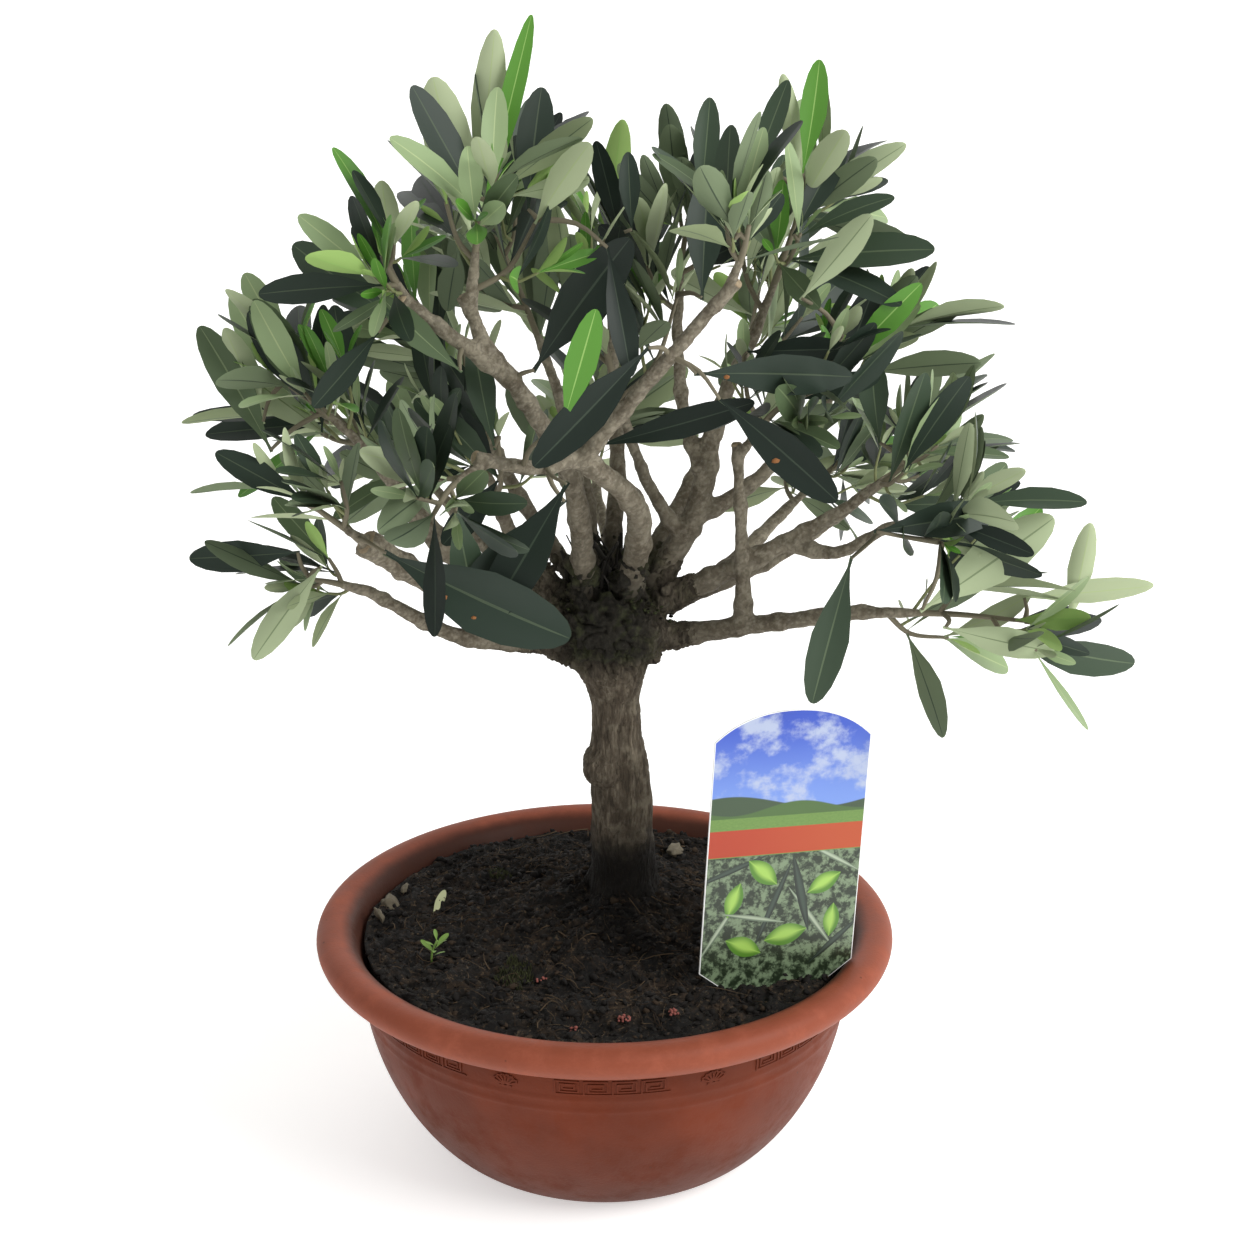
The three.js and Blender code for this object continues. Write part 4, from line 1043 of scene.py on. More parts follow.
def add_crumbs(heap, settings):
    draw = seeded(SEEDS["crumbs"])
    forms = [rough_ball(1, 0.9, seed) for seed in range(5)]
    for index, (x, y) in enumerate(scattered(draw, settings.crumbs)):
        size = 0.35 + 1.7 * draw() ** 4
        form = forms[index % len(forms)]
        places = form.places @ np.array(tumbled(draw, size, lerp(1, 1.7, draw()))).T
        places = places + np.array((x, y, soil_height(x, y) + 0.3 * size))
        heap.add(form, places, 0 if draw() < 0.86 else 1)


def add_fibres(heap, settings):
    """Peat fibres and rootlets that lie on the soil in loose bends."""
    draw = seeded(SEEDS["fibres"])
    rod = unit_rod(4, 5)
    for x, y in scattered(draw, settings.fibres, 0.97):
        angle, length = FULL_TURN * draw(), lerp(5, 24, draw() ** 2)
        bend = (draw() - 0.5) * 2.2
        route = []
        for step in range(4):
            turn = angle + bend * step / 3
            x += math.cos(turn) * length / 3
            y += math.sin(turn) * length / 3
            if math.hypot(x, y) > SOIL["rim"] - 2:
                break
            route.append((x, y, soil_height(x, y) + 0.5 + 1.4 * draw() ** 2))
        if len(route) == 4:
            thick = lerp(0.13, 0.36, draw() ** 2)
            fibre = swept(rod, Curve(route), lambda along: thick * (1.1 - along))
            heap.add(rod, fibre, int(2.4 * draw() ** 0.7))


# Each stone's place and size, and each heap of feed's place and how many pellets it has.
STONES = (((-104, 21), 7.0), ((-107, 3), 4.8), ((-98, 32), 4.4), ((35, 76), 6.4), ((92, 30), 4.0))
PELLETS = (((9, -96), 30), ((-28, -59), 18), ((30, -92), 12), ((-12, -101), 9))
SPROUT = (-78, -42)
FALLEN_LEAF = (-83, 10)
MOSS = (((-39, -58), 9, 260, 3.4), ((-52, 46), 7, 90, 2.6))  # each tuft's place, reach, blades and height


def add_moss(heap, draw, centre, reach, count, height):
    """A tuft of short soft blades."""
    rod = unit_rod(3, 2)
    for _ in range(count):
        radius, angle = reach * math.sqrt(draw()), FULL_TURN * draw()
        x, y = centre[0] + radius * math.cos(angle), centre[1] + radius * math.sin(angle)
        z = soil_height(x, y)
        lean = Vector((draw() - 0.5, draw() - 0.5, 0)) * 1.6
        tall = height * lerp(0.5, 1, draw())
        root, top = Vector((x, y, z - 0.5)), Vector((x, y, z + tall))
        route = [root, Vector((x, y, z + tall * 0.5)) + lean, top + 2 * lean]
        heap.add(rod, swept(rod, Curve(route), lambda along: 0.42 * (1.05 - along)))


class OLIVE_OT_soil(bpy.types.Operator):
    """Fill the bowl with a lumpy mound of soil, crumbs and fibres"""

    bl_idname = "olive.soil"
    bl_label = "Soil"

    def execute(self, context):
        settings = context.scene.olive_soil
        settle("soil_mound", soil_mesh(), [potting_soil(settings)], ["soil"])
        loose = Heap()
        add_crumbs(loose, settings)
        add_fibres(loose, settings)
        finishes = [
            plain("soil_crumb", tint("15110e"), 0.85, specular_ior_level=0.3),
            plain("soil_fibre", tint("382d23"), 0.9, specular_ior_level=0.2),
            plain("soil_straw", tint("5a4b3a"), 0.9, specular_ior_level=0.2),
        ]
        settle("soil_litter", loose.mesh("soil_litter"), finishes)
        return {"FINISHED"}


class OLIVE_OT_litter(bpy.types.Operator):
    """Lay the stones, feed pellets and moss on the soil"""

    bl_idname = "olive.litter"
    bl_label = "Stones, pellets and moss"

    def execute(self, context):
        draw = seeded(SEEDS["litter"])
        stones = Heap()
        for index, ((x, y), size) in enumerate(STONES):
            form = rough_ball(3, 0.5, SEEDS["stone_forms"] + index)
            places = form.places @ np.array(tumbled(draw, size * 0.8, 1.2)).T
            stones.add(form, places + np.array((x, y, soil_height(x, y) + size * 0.15)))
        settle("stones", stones.mesh("stones"), [pebble("stone", "3d372d", "857b66")])
        pellets, ball = Heap(), unit_ball(1)
        for (x, y), count in PELLETS:
            foot = soil_height(x, y)
            for _ in range(count):
                turn, out = FULL_TURN * draw(), 2.6 * math.sqrt(draw())
                px, py = x + out * math.cos(turn), y + out * math.sin(turn)
                rise = 0.3 + 2.6 * draw() * (1 - out / 3.2)
                pellets.add(ball, ball.places * lerp(0.45, 0.85, draw()) + np.array((px, py, foot + rise)))
        finishes = [pebble("feed", "5c2723", "b0685c")]
        settle("feed_pellets", pellets.mesh("feed_pellets"), finishes)
        moss = Heap()
        for tuft in MOSS:
            add_moss(moss, draw, *tuft)
        settle("moss", moss.mesh("moss"), [plain("moss_blade", tint("3b3e20"), 0.9)])
        return {"FINISHED"}


# ---------------------------------------------------------------- the card


def card_outline():
    """The card's outline, anticlockwise from the tip of its spike: across and up."""
    half, spike = CARD["width"] / 2, CARD["spike_width"] / 2
    side, top = CARD["height"] - CARD["arch"], CARD["height"]
    right = [(0, -CARD["shoulder"] - CARD["spike"]), (spike, -CARD["shoulder"] - CARD["spike"] * 0.55)]
    right += [(spike, -CARD["shoulder"]), (half, 0), (half, side)]
    arch = []
    for i in range(1, CARD["arch_steps"] + 1):
        share = i / CARD["arch_steps"]
        across = (1 - share) ** 2 * half + 2 * share * (1 - share) * half * CARD["arch_fullness"]
        arch.append((across, (1 - share) ** 2 * side + (1 - (1 - share) ** 2) * top))
    left = [(-across, up) for across, up in reversed(right[1:] + arch[:-1])]
    return right + arch + left


def card_mesh():
    """The card: a white sheet with a printed face, a thin white border and softened edges."""
    shape = bmesh.new()
    depth = CARD["thickness"]
    verts = [shape.verts.new((across, -depth / 2, up)) for across, up in card_outline()]
    front = shape.faces.new(verts)
    back = bmesh.ops.extrude_face_region(shape, geom=[front], use_keep_orig=True)["geom"]
    back_verts = [item for item in back if isinstance(item, bmesh.types.BMVert)]
    bmesh.ops.translate(shape, verts=back_verts, vec=(0, depth, 0))
    bmesh.ops.recalc_face_normals(shape, faces=shape.faces)
    bmesh.ops.inset_region(shape, faces=[front], thickness=CARD["border"], depth=0)
    for face in shape.faces:
        face.material_index = 0 if face == front else 1
    corners = [e for e in shape.edges if e.is_manifold and e.calc_face_angle() > 1.2]
    bmesh.ops.bevel(shape, geom=corners, offset=0.18, segments=2, profile=0.5, affect="EDGES", material=-1)
    print_map = shape.loops.layers.uv.new("print")
    for face in shape.faces:
        for loop in face.loops:
            place = loop.vert.co
            loop[print_map].uv = (place.x / CARD["width"] + 0.5, place.z / CARD["height"])
    turn, recline, lean = (math.radians(CARD[name]) for name in ("turn", "recline", "lean"))
    stance = Matrix.Rotation(turn, 4, "Z") @ Matrix.Rotation(-recline, 4, "X") @ Matrix.Rotation(lean, 4, "Y")
    bmesh.ops.transform(shape, verts=shape.verts, matrix=Matrix.Translation(CARD["foot"]) @ stance)
    mesh = mesh_of(shape, "plant_card_print")
    mesh.polygons.foreach_set("use_smooth", [False] * len(mesh.polygons))
    return mesh


def card_back():
    finish = Finish("card_back", coat_weight=0.2, coat_roughness=0.2)
    place = finish.place()
    tone = finish.mix(finish.cloud(place, 0.02, 3), tint("e9e9e6"), tint("f6f6f4"))
    return finish.done(tone, 0.38 + 0.1 * finish.cloud(place, 0.01))


class OLIVE_OT_card(bpy.types.Operator):
    """Stand the picture card in the soil"""

    bl_idname = "olive.card"
    bl_label = "Picture card"

    def execute(self, context):
        finishes = [printed_card(context.scene.olive_card), card_back()]
        settle("picture_card", card_mesh(), finishes, ["plant_card"])
        return {"FINISHED"}


# ---------------------------------------------------------------- trunk and boughs


def bough_curve(name):
    return Curve(BOUGHS[name][:3])


def trunk_radius(along):
    if along < TRUNK["waist_at"]:
        flare = TRUNK["flare"] * math.exp(-along / TRUNK["flare_reach"])
        return lerp(TRUNK["foot_radius"], TRUNK["waist_radius"], along / TRUNK["waist_at"]) + flare
    if along < TRUNK["neck_at"]:
        share = (along - TRUNK["waist_at"]) / (TRUNK["neck_at"] - TRUNK["waist_at"])
        return lerp(TRUNK["waist_radius"], TRUNK["neck_radius"], share)
    share = (along - TRUNK["neck_at"]) / (1 - TRUNK["neck_at"])
    return lerp(TRUNK["neck_radius"], TRUNK["top_radius"], share ** 1.3)


def head_places(form):
    """The pollard head: a flattened ball with the solids' own lumps."""
    draw = seeded(HEAD["seed"])
    lumps = []
    for _ in range(HEAD["lumps"]):
        turn = draw() * 2 * math.pi
        rise = draw() * 1.5 - 0.75
        level = math.sqrt(1 - rise * rise)
        lumps.append((math.cos(turn) * level, math.sin(turn) * level, rise))
    angles = np.arccos(np.clip(form.places @ np.array(lumps).T, -1, 1))
    swelling = np.exp(-((angles / HEAD["spread"]) ** 2)).sum(axis=1)
    reach = 1 + HEAD["height"] * np.minimum(1.2, swelling) - 0.06
    return form.places * reach[:, None] * np.array(HEAD["half"]) + np.array(HEAD["centre"])


def skinned(heap, name, voxel):
    """One closed skin over all the forms in a heap."""
    rough = bpy.data.objects.new(name, heap.mesh(name))
    bpy.context.scene.collection.objects.link(rough)
    skin = rough.modifiers.new("skin", "REMESH")
    skin.mode = "VOXEL"
    skin.voxel_size = voxel
    smooth = rough.modifiers.new("smooth", "SMOOTH")
    smooth.iterations = 4
    context = bpy.context.evaluated_depsgraph_get()
    made = bpy.data.meshes.new_from_object(rough.evaluated_get(context))
    made.name = name
    bpy.data.objects.remove(rough)
    return made


def carve(mesh, relief_at):
    """Moves each corner along its normal by the relief there, and notes the relief for the bark."""
    count = len(mesh.vertices)
    places, normals = np.empty(count * 3), np.empty(count * 3)
    mesh.vertices.foreach_get("co", places)
    mesh.vertices.foreach_get("normal", normals)
    places, normals = places.reshape(-1, 3), normals.reshape(-1, 3)
    shifts, notes = np.empty(count), np.empty(count, dtype=np.float32)
    for row in range(count):
        shifts[row], notes[row] = relief_at(Vector(places[row]) / MM)
    mesh.vertices.foreach_set("co", (places + normals * shifts[:, None] * MM).ravel())
    mesh.attributes.new("relief", "FLOAT", "POINT").data.foreach_set("value", notes)
    mesh.polygons.foreach_set("use_smooth", [True] * len(mesh.polygons))
    mesh.update()


def ease(value, low, high):
    share = min(1.0, max(0.0, (value - low) / (high - low)))
    return share * share * (3 - 2 * share)


def trunk_relief(depth):
    """Long fissures up the trunk, and deep knobbly pits all over its head."""
    def relief_at(place):
        x, y, z = place
        bent = x + 3.5 * noise.noise(place / 24)
        ridge = abs(noise.noise(Vector((bent / 2.2, y / 2.2, z / 30)))) * 2.8
        split = abs(noise.noise(Vector((bent / 0.95 + 4, y / 0.95, z / 9)))) * 2.8
        crack = 0.5 * min(1, ridge) + 0.5 * min(1, split)
        aside = math.hypot(x - HEAD["centre"][0], y - HEAD["centre"][1])
        rise = ease(z + 5 * noise.noise(place / 9), *HEAD_RELIEF["rise"])
        head = rise * (1 - ease(aside, *HEAD_RELIEF["aside"]))
        knob = noise.noise(place / 8) + 0.75 * noise.noise(place / 3.7) + 0.4 * noise.noise(place / 1.7)
        pit = ease(abs(noise.noise(place / 6.5 + Vector((0, 3, 0)))), 0.0, 0.15)
        trunk_shift = depth * (crack - 0.75) + 0.9 * noise.noise(place / 12)
        head_shift = 3.6 * knob - 2.6 * (1 - pit)
        # the note darkens the bark in fissures and pits, partly as painted shade
        note = lerp(ease(crack, 0.12, 0.75), min(1.0, max(0.0, 0.2 + 0.6 * pit + 0.45 * knob)), head)
        return lerp(trunk_shift, head_shift, head), note
    return relief_at


def bough_relief(place):
    """Shallow lumps and pores."""
    coarse = noise.noise(place / 9) + 0.6 * noise.noise(place / 3.6)
    pores = abs(noise.noise(place / 1.9)) * 2.4
    return 0.6 * coarse + 0.14 * (min(1, pores) - 0.6), ease(0.65 * pores + 0.3 * coarse, 0.05, 0.6)


COLLAR = {"near": 40, "length": 30}  # boughs seated this near the head's centre swell over this length


def trunk_heap():
    """The trunk's lobed shaft, its head and knots, its roots, and the boughs' swollen seats."""
    heap = Heap()
    rod = unit_rod(24, 40)
    buried = Vector(TRUNK["foot"]) - UP * TRUNK["buried"]
    route = [buried, *(TRUNK[name] for name in ("foot", "waist", "knee", "neck", "top"))]
    curve = Curve(route)
    places = swept(rod, curve, trunk_radius)
    angle = np.arctan2(rod.places[:, 1], rod.places[:, 0])
    along = rod.places[:, 2]
    lobe = 0.1 * np.exp(-along * 9) * np.cos(angle * TRUNK["lobes"] + 0.7)
    centres = np.array([curve.at(float(a)) for a in along])
    heap.add(rod, centres + (places - centres) * (1 + lobe)[:, None])
    ball = unit_ball(5)
    heap.add(ball, head_places(ball))
    knot_ball = unit_ball(3)
    for centre, radius in KNOTS:
        heap.add(knot_ball, knot_ball.places * radius + np.array(centre))
    root = unit_rod(10, 8)
    for index in range(TRUNK["lobes"]):
        angle = index * 2 * math.pi / TRUNK["lobes"] + 0.5
        out = Vector((math.cos(angle), math.sin(angle), 0))
        foot = Vector(TRUNK["foot"])
        route = [foot + out * 8 + UP * 20, foot + out * 14 + UP * 3, foot + out * 22 - UP * 7]
        heap.add(root, swept(root, Curve(route), lambda a: lerp(5.5, 2.2, a)))
    collar = unit_rod(12, 6)
    for name, (seat, _, _, seat_radius, _) in BOUGHS.items():
        if (Vector(seat) - Vector(HEAD["centre"])).length < COLLAR["near"]:
            curve = bough_curve(name)
            reach = COLLAR["length"] / curve.length
            swelling = swept(collar, curve, lambda a: seat_radius * lerp(1.5, 0.92, a / reach), reach)
            heap.add(collar, swelling)
    return heap


def stem_route(name):
    """The stem that goes on from its bough's tip, as the solids' sprays start."""
    bough, tip, *_ = SPRAYS[name]
    heading = bough_curve(bough).heading(1.0)
    base = Vector(BOUGHS[bough][2]) - heading
    tip = Vector(tip)
    middle = base.lerp(tip, 0.5) + heading * TWIG["stem_bend"] * (tip - base).length
    return [base, middle, tip]


def bough_heap():
    """Every bough with its nodes, forks' collars, sawn stubs, and the taper into its stem."""
    heap = Heap()
    rod, short = unit_rod(12, 44), unit_rod(12, 10)
    for order, (name, (*_, seat_radius, tip_radius)) in enumerate(BOUGHS.items()):
        curve = bough_curve(name)
        pace = 19 + order % 5 * 2.5

        def radius_at(along, curve=curve, pace=pace, seat_radius=seat_radius, tip_radius=tip_radius):
            gap = (along * curve.length) % pace - pace / 2
            collar = 0.3 * math.exp(-along * curve.length / 7)
            node = 0.24 * math.exp(-((gap / 2.1) ** 2))
            return lerp(seat_radius, tip_radius, along) * (0.97 + collar + node)

        heap.add(rod, swept(rod, curve, radius_at))
        if name in STUBS:
            end = curve.at(1.0)
            heading = curve.heading(1.0)
            stub = Curve([end - heading * 6, end, end + heading * 5.5])
            heap.add(short, swept(short, stub, lambda a: tip_radius * lerp(1.0, 1.14, a)))
    for name, (bough, *_) in SPRAYS.items():
        stem = Curve(stem_route(name))
        reach = min(0.5, 24 / stem.length)
        start = min(BOUGHS[bough][4], 3.4)
        heap.add(short, swept(short, stem, lambda a: lerp(start, 1.75, (a / reach) ** 0.8), reach))
    return heap


def stub_ends(heap):
    """Sawn faces: a slightly domed disc on each stub."""
    rod = unit_rod(20, 3)
    for name in STUBS:
        curve, tip_radius = bough_curve(name), BOUGHS[name][4]
        end, heading = curve.at(1.0), curve.heading(1.0)
        face = Curve([end + heading * 4.2, end + heading * 5, end + heading * 5.9])
        heap.add(rod, swept(rod, face, lambda a: tip_radius * 1.14 * (0.9 - 0.25 * a ** 3)))


class OLIVE_OT_trunk(bpy.types.Operator):
    """Skin the trunk with its root flare and knobbly head, and carve its bark"""

    bl_idname = "olive.trunk"
    bl_label = "Trunk"

    def execute(self, context):
        settings = context.scene.olive_bark
        mesh = skinned(trunk_heap(), "trunk_skin", settings.trunk_voxel)
        carve(mesh, trunk_relief(settings.fissure_depth / MM))
        settle("trunk_bark", mesh, [trunk_bark(settings)], ["trunk"])
        return {"FINISHED"}


class OLIVE_OT_boughs(bpy.types.Operator):
    """Skin the boughs with their nodes, forks and sawn stubs"""

    bl_idname = "olive.boughs"
    bl_label = "Boughs"

    def execute(self, context):
        settings = context.scene.olive_bark
        mesh = skinned(bough_heap(), "bough_skin", settings.bough_voxel)
        carve(mesh, bough_relief)
        nodes = [f"bough_{name}" for name in BOUGHS]
        settle("bough_bark", mesh, [bough_bark(settings)], nodes)
        ends = Heap()
        stub_ends(ends)
        settle("stub_ends", ends.mesh("stub_ends"), [cut_wood(settings)])
        return {"FINISHED"}


CRUST = {"lumps": 420, "dead_shoots": 46, "shoots_within": 19}


class OLIVE_OT_head_crust(bpy.types.Operator):
    """Cover the head with crusty moss and the stumps of dead shoots"""

    bl_idname = "olive.head_crust"
    bl_label = "Crust on the head"

    def execute(self, context):
        draw = seeded(SEEDS["crust"])
        crust = Heap()
        forms = [rough_ball(1, 1.0, SEEDS["crust_forms"] + seed) for seed in range(4)]
        centre, half = Vector(HEAD["centre"]), Vector(HEAD["half"])
        for index in range(CRUST["lumps"]):
            turn, rise = FULL_TURN * draw(), lerp(-0.2, 0.98, draw() ** 0.5)
            level = math.sqrt(1 - rise * rise)
            way = Vector((math.cos(turn) * level, math.sin(turn) * level, rise))
            place = centre + Vector(w * h * 1.05 for w, h in zip(way, half))
            size = lerp(0.3, 1.2, draw() ** 2)
            form = forms[index % len(forms)]
            places = form.places @ np.array(tumbled(draw, size, 1.3)).T + np.array(place)
            crust.add(form, places, 0 if draw() < 0.6 else 1)
        rod = unit_rod(6, 8)
        for _ in range(CRUST["dead_shoots"]):
            turn, out = FULL_TURN * draw(), CRUST["shoots_within"] * math.sqrt(draw())
            foot = centre + Vector((math.cos(turn) * out, math.sin(turn) * out, half.z * 0.8))
            tall = lerp(4, 22, draw() ** 2)
            lean = Vector((draw() - 0.5, draw() - 0.5, 0)) * tall * 0.9
            curve = Curve([foot, foot + UP * tall * 0.5 + lean * 0.2, foot + UP * tall + lean])
            thick = lerp(0.4, 1.4, draw() ** 2)
            crust.add(rod, swept(rod, curve, lambda a: thick * (1.15 - 0.4 * a)), 2)
        finishes = [
            plain("crust_dark", tint("1b1913"), 0.95, specular_ior_level=0.2),
            plain("crust_moss", tint("343822"), 0.95, specular_ior_level=0.2),
            plain("dead_shoot", tint("211d17"), 0.9),
        ]
        settle("head_crust", crust.mesh("head_crust"), finishes)
        return {"FINISHED"}


# ---------------------------------------------------------------- twigs and leaves


def stretch_distance(a, b, c, d):
    """The shortest distance between two straight stretches."""
    u, v, w = b - a, d - c, a - c
    uu, uv, vv, uw, vw = u.dot(u), u.dot(v), v.dot(v), u.dot(w), v.dot(w)
    spread = uu * vv - uv * uv
    s = min(1.0, max(0.0, (uv * vw - vv * uw) / spread)) if spread > 1e-9 else 0.0
    t = (uv * s + vw) / vv
    if t < 0 or t > 1:
        t = min(1.0, max(0.0, t))
        s = min(1.0, max(0.0, (uv * t - uw) / uu))
    return (w + u * s - v * t).length


def square_to(direction, angle):
    """A direction square to the given one, turned round it by an angle."""
    helper = UP if abs(direction.z) < 0.9 else Vector((1, 0, 0))
    side = direction.cross(helper).normalized()
    side.rotate(Matrix.Rotation(angle, 3, direction))
    return side


def stretches(curve, steps, radius_at):
    stops = [curve.at(i / steps) for i in range(steps + 1)]
    return [(stops[i], stops[i + 1], radius_at(i / steps)) for i in range(steps)]


def clear_of(start, end, clearance, limbs):
    return all(stretch_distance(start, end, a, b) > radius + clearance for a, b, radius in limbs)


class Cell:
    """The space that one spray keeps to, between planes towards its neighbours."""

    def __init__(self, base, tip):
        self.centre = base.lerp(tip, 0.55)
        self.reach = (tip - base).length * 0.2

    def meet(self, others):
        """Works out the planes once; each is a direction and the offset that it starts at."""
        self.planes = []
        for other in others:
            if other is not self:
                gap = other.centre - self.centre
                pull = other.centre.length_squared - other.reach ** 2
                pull -= self.centre.length_squared - self.reach ** 2
                self.planes.append((gap.normalized(), pull / (2 * gap.length)))

    def depth(self, place):
        return min(offset - direction.dot(place) for direction, offset in self.planes)


class Twig:
    """A twig with its curve, its thickness at both ends and the turn of its first pair."""

    def __init__(self, route, from_radius, to_radius, phase):
        self.curve = Curve(route)
        self.from_radius, self.to_radius, self.phase = from_radius, to_radius, phase
        self.stretches = stretches(self.curve, TWIG["steps"], lambda along: to_radius)

    def radius_at(self, along):
        return lerp(self.from_radius, self.to_radius, along)


class Blade:
    """One leaf: where it starts, where it points, which way it faces, and how long it is."""

    def __init__(self, root, direction, face, length):
        self.root, self.direction, self.face, self.length = root, direction, face, length
        across = face.cross(direction).normalized()
        middle = root + direction * length * LEAF["widest"]
        half = length * LEAF["breadth"] / 2
        thick = length * LEAF["thickness"] / 2
        self.tip = root + direction * length
        self.left, self.right = middle - across * half, middle + across * half
        butt = root - direction * LEAF["root_depth"]
        self.corners = [butt, self.left, self.tip, self.right, middle + face * thick, middle - face * thick]
        self.ribs = [(butt, self.tip), (butt, self.left), (self.left, self.tip),
                     (butt, self.right), (self.right, self.tip)]
        throat = butt.lerp(self.tip, LEAF["throat"])
        rim = (throat, self.left, self.tip, self.right)
        self.edges = list(zip(rim, rim[1:] + rim[:1]))
        self.halves = [(throat, self.left, self.tip), (throat, self.tip, self.right)]
        self.middle = middle

    def crosses(self, other):
        if (self.middle - other.middle).length > (self.length + other.length) * 0.55:
            return False
        return pierced(self.edges, other.halves) or pierced(other.edges, self.halves)


def pierced(edges, halves):
    """Whether any straight stretch passes through any triangle."""
    for start, end in edges:
        for a, b, c in halves:
            normal = (b - a).cross(c - a)
            before, after = normal.dot(start - a), normal.dot(end - a)
            if before * after < 0:
                hit = start.lerp(end, before / (before - after))
                turns = [normal.dot((q - p).cross(hit - p)) for p, q in ((a, b), (b, c), (c, a))]
                if min(turns) >= 0:
                    return True
    return False


class Spray:
    """All the twigs and leaves that one bough bears."""

    def __init__(self, name):
        bough, tip, shoots, leaf_size, seed, youth = SPRAYS[name]
        self.name, self.bough, self.shoots = name, bough, shoots
        self.leaf_size, self.seed, self.youth = leaf_size, seed, youth
        self.cell = Cell(Vector(BOUGHS[bough][2]), Vector(tip))
        self.blades, self.stations = [], []

    def grow_leaves(self, twig, spacing, start, scale, draw, limbs, share=1):
        """Opposite pairs, each pair square to the last; a leaf that fits nowhere is left out."""
        count = max(2, round(twig.curve.length / spacing))
        for pair in range(count):
            if share < 1 and draw() > share:
                continue
            along = (pair + start) / count
            station = min(LEAF["last"], along)
            place, heading = twig.curve.at(station), twig.curve.heading(station)
            for half in range(2):
                self.try_leaf(twig, pair, half, along, place, heading, scale, draw, limbs)

    def try_leaf(self, twig, pair, half, along, place, heading, scale, draw, limbs):
        for attempt in range(LEAF["tries"]):
            stray = (draw() - 0.5) * LEAF["stray"] * (1 + attempt)
            turn = twig.phase + (pair + 2 * half) * math.pi / 2 + stray
            opening = lerp(LEAF["spread_low"], LEAF["spread_tip"], along)
            spread = opening * (0.85 + 0.5 * draw()) * math.pi / 2
            side = square_to(heading, turn) + UP * LEAF["lift"]
            side = (side - heading * side.dot(heading)).normalized()
            direction = heading * math.cos(spread) + side * math.sin(spread)
            face = (heading - direction * heading.dot(direction)).normalized()
            size = (0.8 + 0.32 * draw()) * (1 - LEAF["smaller_at_tip"] * along * along)
            length = LEAF["length"] * self.leaf_size * size * scale
            if self.keep(Blade(place, direction, face, length), along, limbs):
                return

    def keep(self, blade, along, limbs):
        """Keeps a blade that stays in the cell, clear of limbs and of the other blades."""
        if any(self.cell.depth(corner) <= TWIG["margin"] for corner in blade.corners):
            return False
        if not all(clear_of(a, b, LEAF["clearance"], limbs) for a, b in blade.ribs):
            return False
        if any(blade.crosses(other) for other in self.blades):
            return False
        self.blades.append(blade)
        self.stations.append(along)
        return True

    def side_route(self, parent, along, turn, longest, limbs, draw, checked_from=0):
        """A side twig's route, turned round its parent until it fits the cell, or None.

        Its stretches from the one numbered `checked_from` on have to be clear of the limbs.
        """
        start, heading = parent.curve.at(along), parent.curve.heading(along)
        for attempt in range(TWIG["tries"]):
            side = square_to(heading, turn + attempt * SHOOT["turn_each_try"])
            length = longest * (0.8 + 0.4 * draw())
            length *= 1 - SHOOT["shorter_each_try"] * attempt
            middle = start + heading * length * SHOOT["ahead"] + side * length * SHOOT["bend"]
            tip = start + heading * length * SHOOT["reach"] + side * length * SHOOT["reach"]
            tip += UP * length * SHOOT["rise"]
            inside = all(self.cell.depth(place) > SHOOT["margin"] for place in (middle, tip))
            runs = ((start, middle), (middle, tip))[checked_from:]
            if inside and all(clear_of(a, b, SHOOT["clearance"], limbs) for a, b in runs):
                return [start, middle, tip]
        return None

    def grow_shoots(self, stem, limbs, draw):
        """Side shoots round the stem at the golden angle."""
        shoots = []
        for index in range(self.shoots):
            along = SHOOT["first"] + SHOOT["span"] * index / max(1, self.shoots - 1)
            longest = stem.curve.length * (SHOOT["length"] - SHOOT["shorter_at_tip"] * along)
            turn = index * GOLDEN_ANGLE + self.seed
            route = self.side_route(stem, along, turn, longest, limbs, draw)
            if route:
                radius = lerp(SHOOT["low_radius"], SHOOT["high_radius"], along)
                shoots.append(Twig(route, radius, TWIG["tip"] * TWIG["shoot_tip"], draw() * math.pi))
        return shoots

    def grow_sprig(self, parent, limbs, draw):
        """A finer side twig, by the same rule, or None where none fits."""
        longest = parent.curve.length * FINE["sprig_share"]
        turn = self.seed * FINE["sprig_turn"]
        route = self.side_route(parent, FINE["sprig_at"], turn, longest, limbs, draw, checked_from=1)
        radius = FINE["sprig_radius"]
        return Twig(route, radius, radius * FINE["sprig_taper"], draw() * math.pi) if route else None

    def grow(self, all_limbs):
        """The solids' own twigs and leaves first, and then the finer growth among them."""
        middle, reach = self.cell.centre, FINE["neighbourhood"]
        limbs = [limb for limb in all_limbs if (limb[0].lerp(limb[1], 0.5) - middle).length < reach]
        draw = seeded(self.seed)
        radius = min(TWIG["stem"], BOUGHS[self.bough][4])
        stem = Twig(stem_route(self.name), radius, TWIG["tip"], draw() * math.pi)
        twigs = [stem, *self.grow_shoots(stem, limbs, draw)]

        def near(twig):
            return limbs + [piece for other in twigs if other is not twig for piece in other.stretches]

        for twig in twigs:
            self.grow_leaves(twig, TWIG["pair_spacing"], LEAF["pair_at"], 1.0, draw, near(twig))
        draw = seeded(self.seed + SEEDS["fine"])
        sprigs = [sprig for twig in twigs if (sprig := self.grow_sprig(twig, limbs, draw))]
        size, share = FINE["between_size"], FINE["between_share"]
        for twig in twigs:
            self.grow_leaves(twig, TWIG["pair_spacing"], FINE["between"], size, draw, near(twig), share)
        beyond = limbs + [piece for twig in twigs for piece in twig.stretches[1:]]
        for sprig in sprigs:
            self.grow_leaves(sprig, FINE["pair_spacing"], LEAF["pair_at"], FINE["leaf_size"], draw, beyond)
        self.twigs, self.sprigs = twigs, sprigs


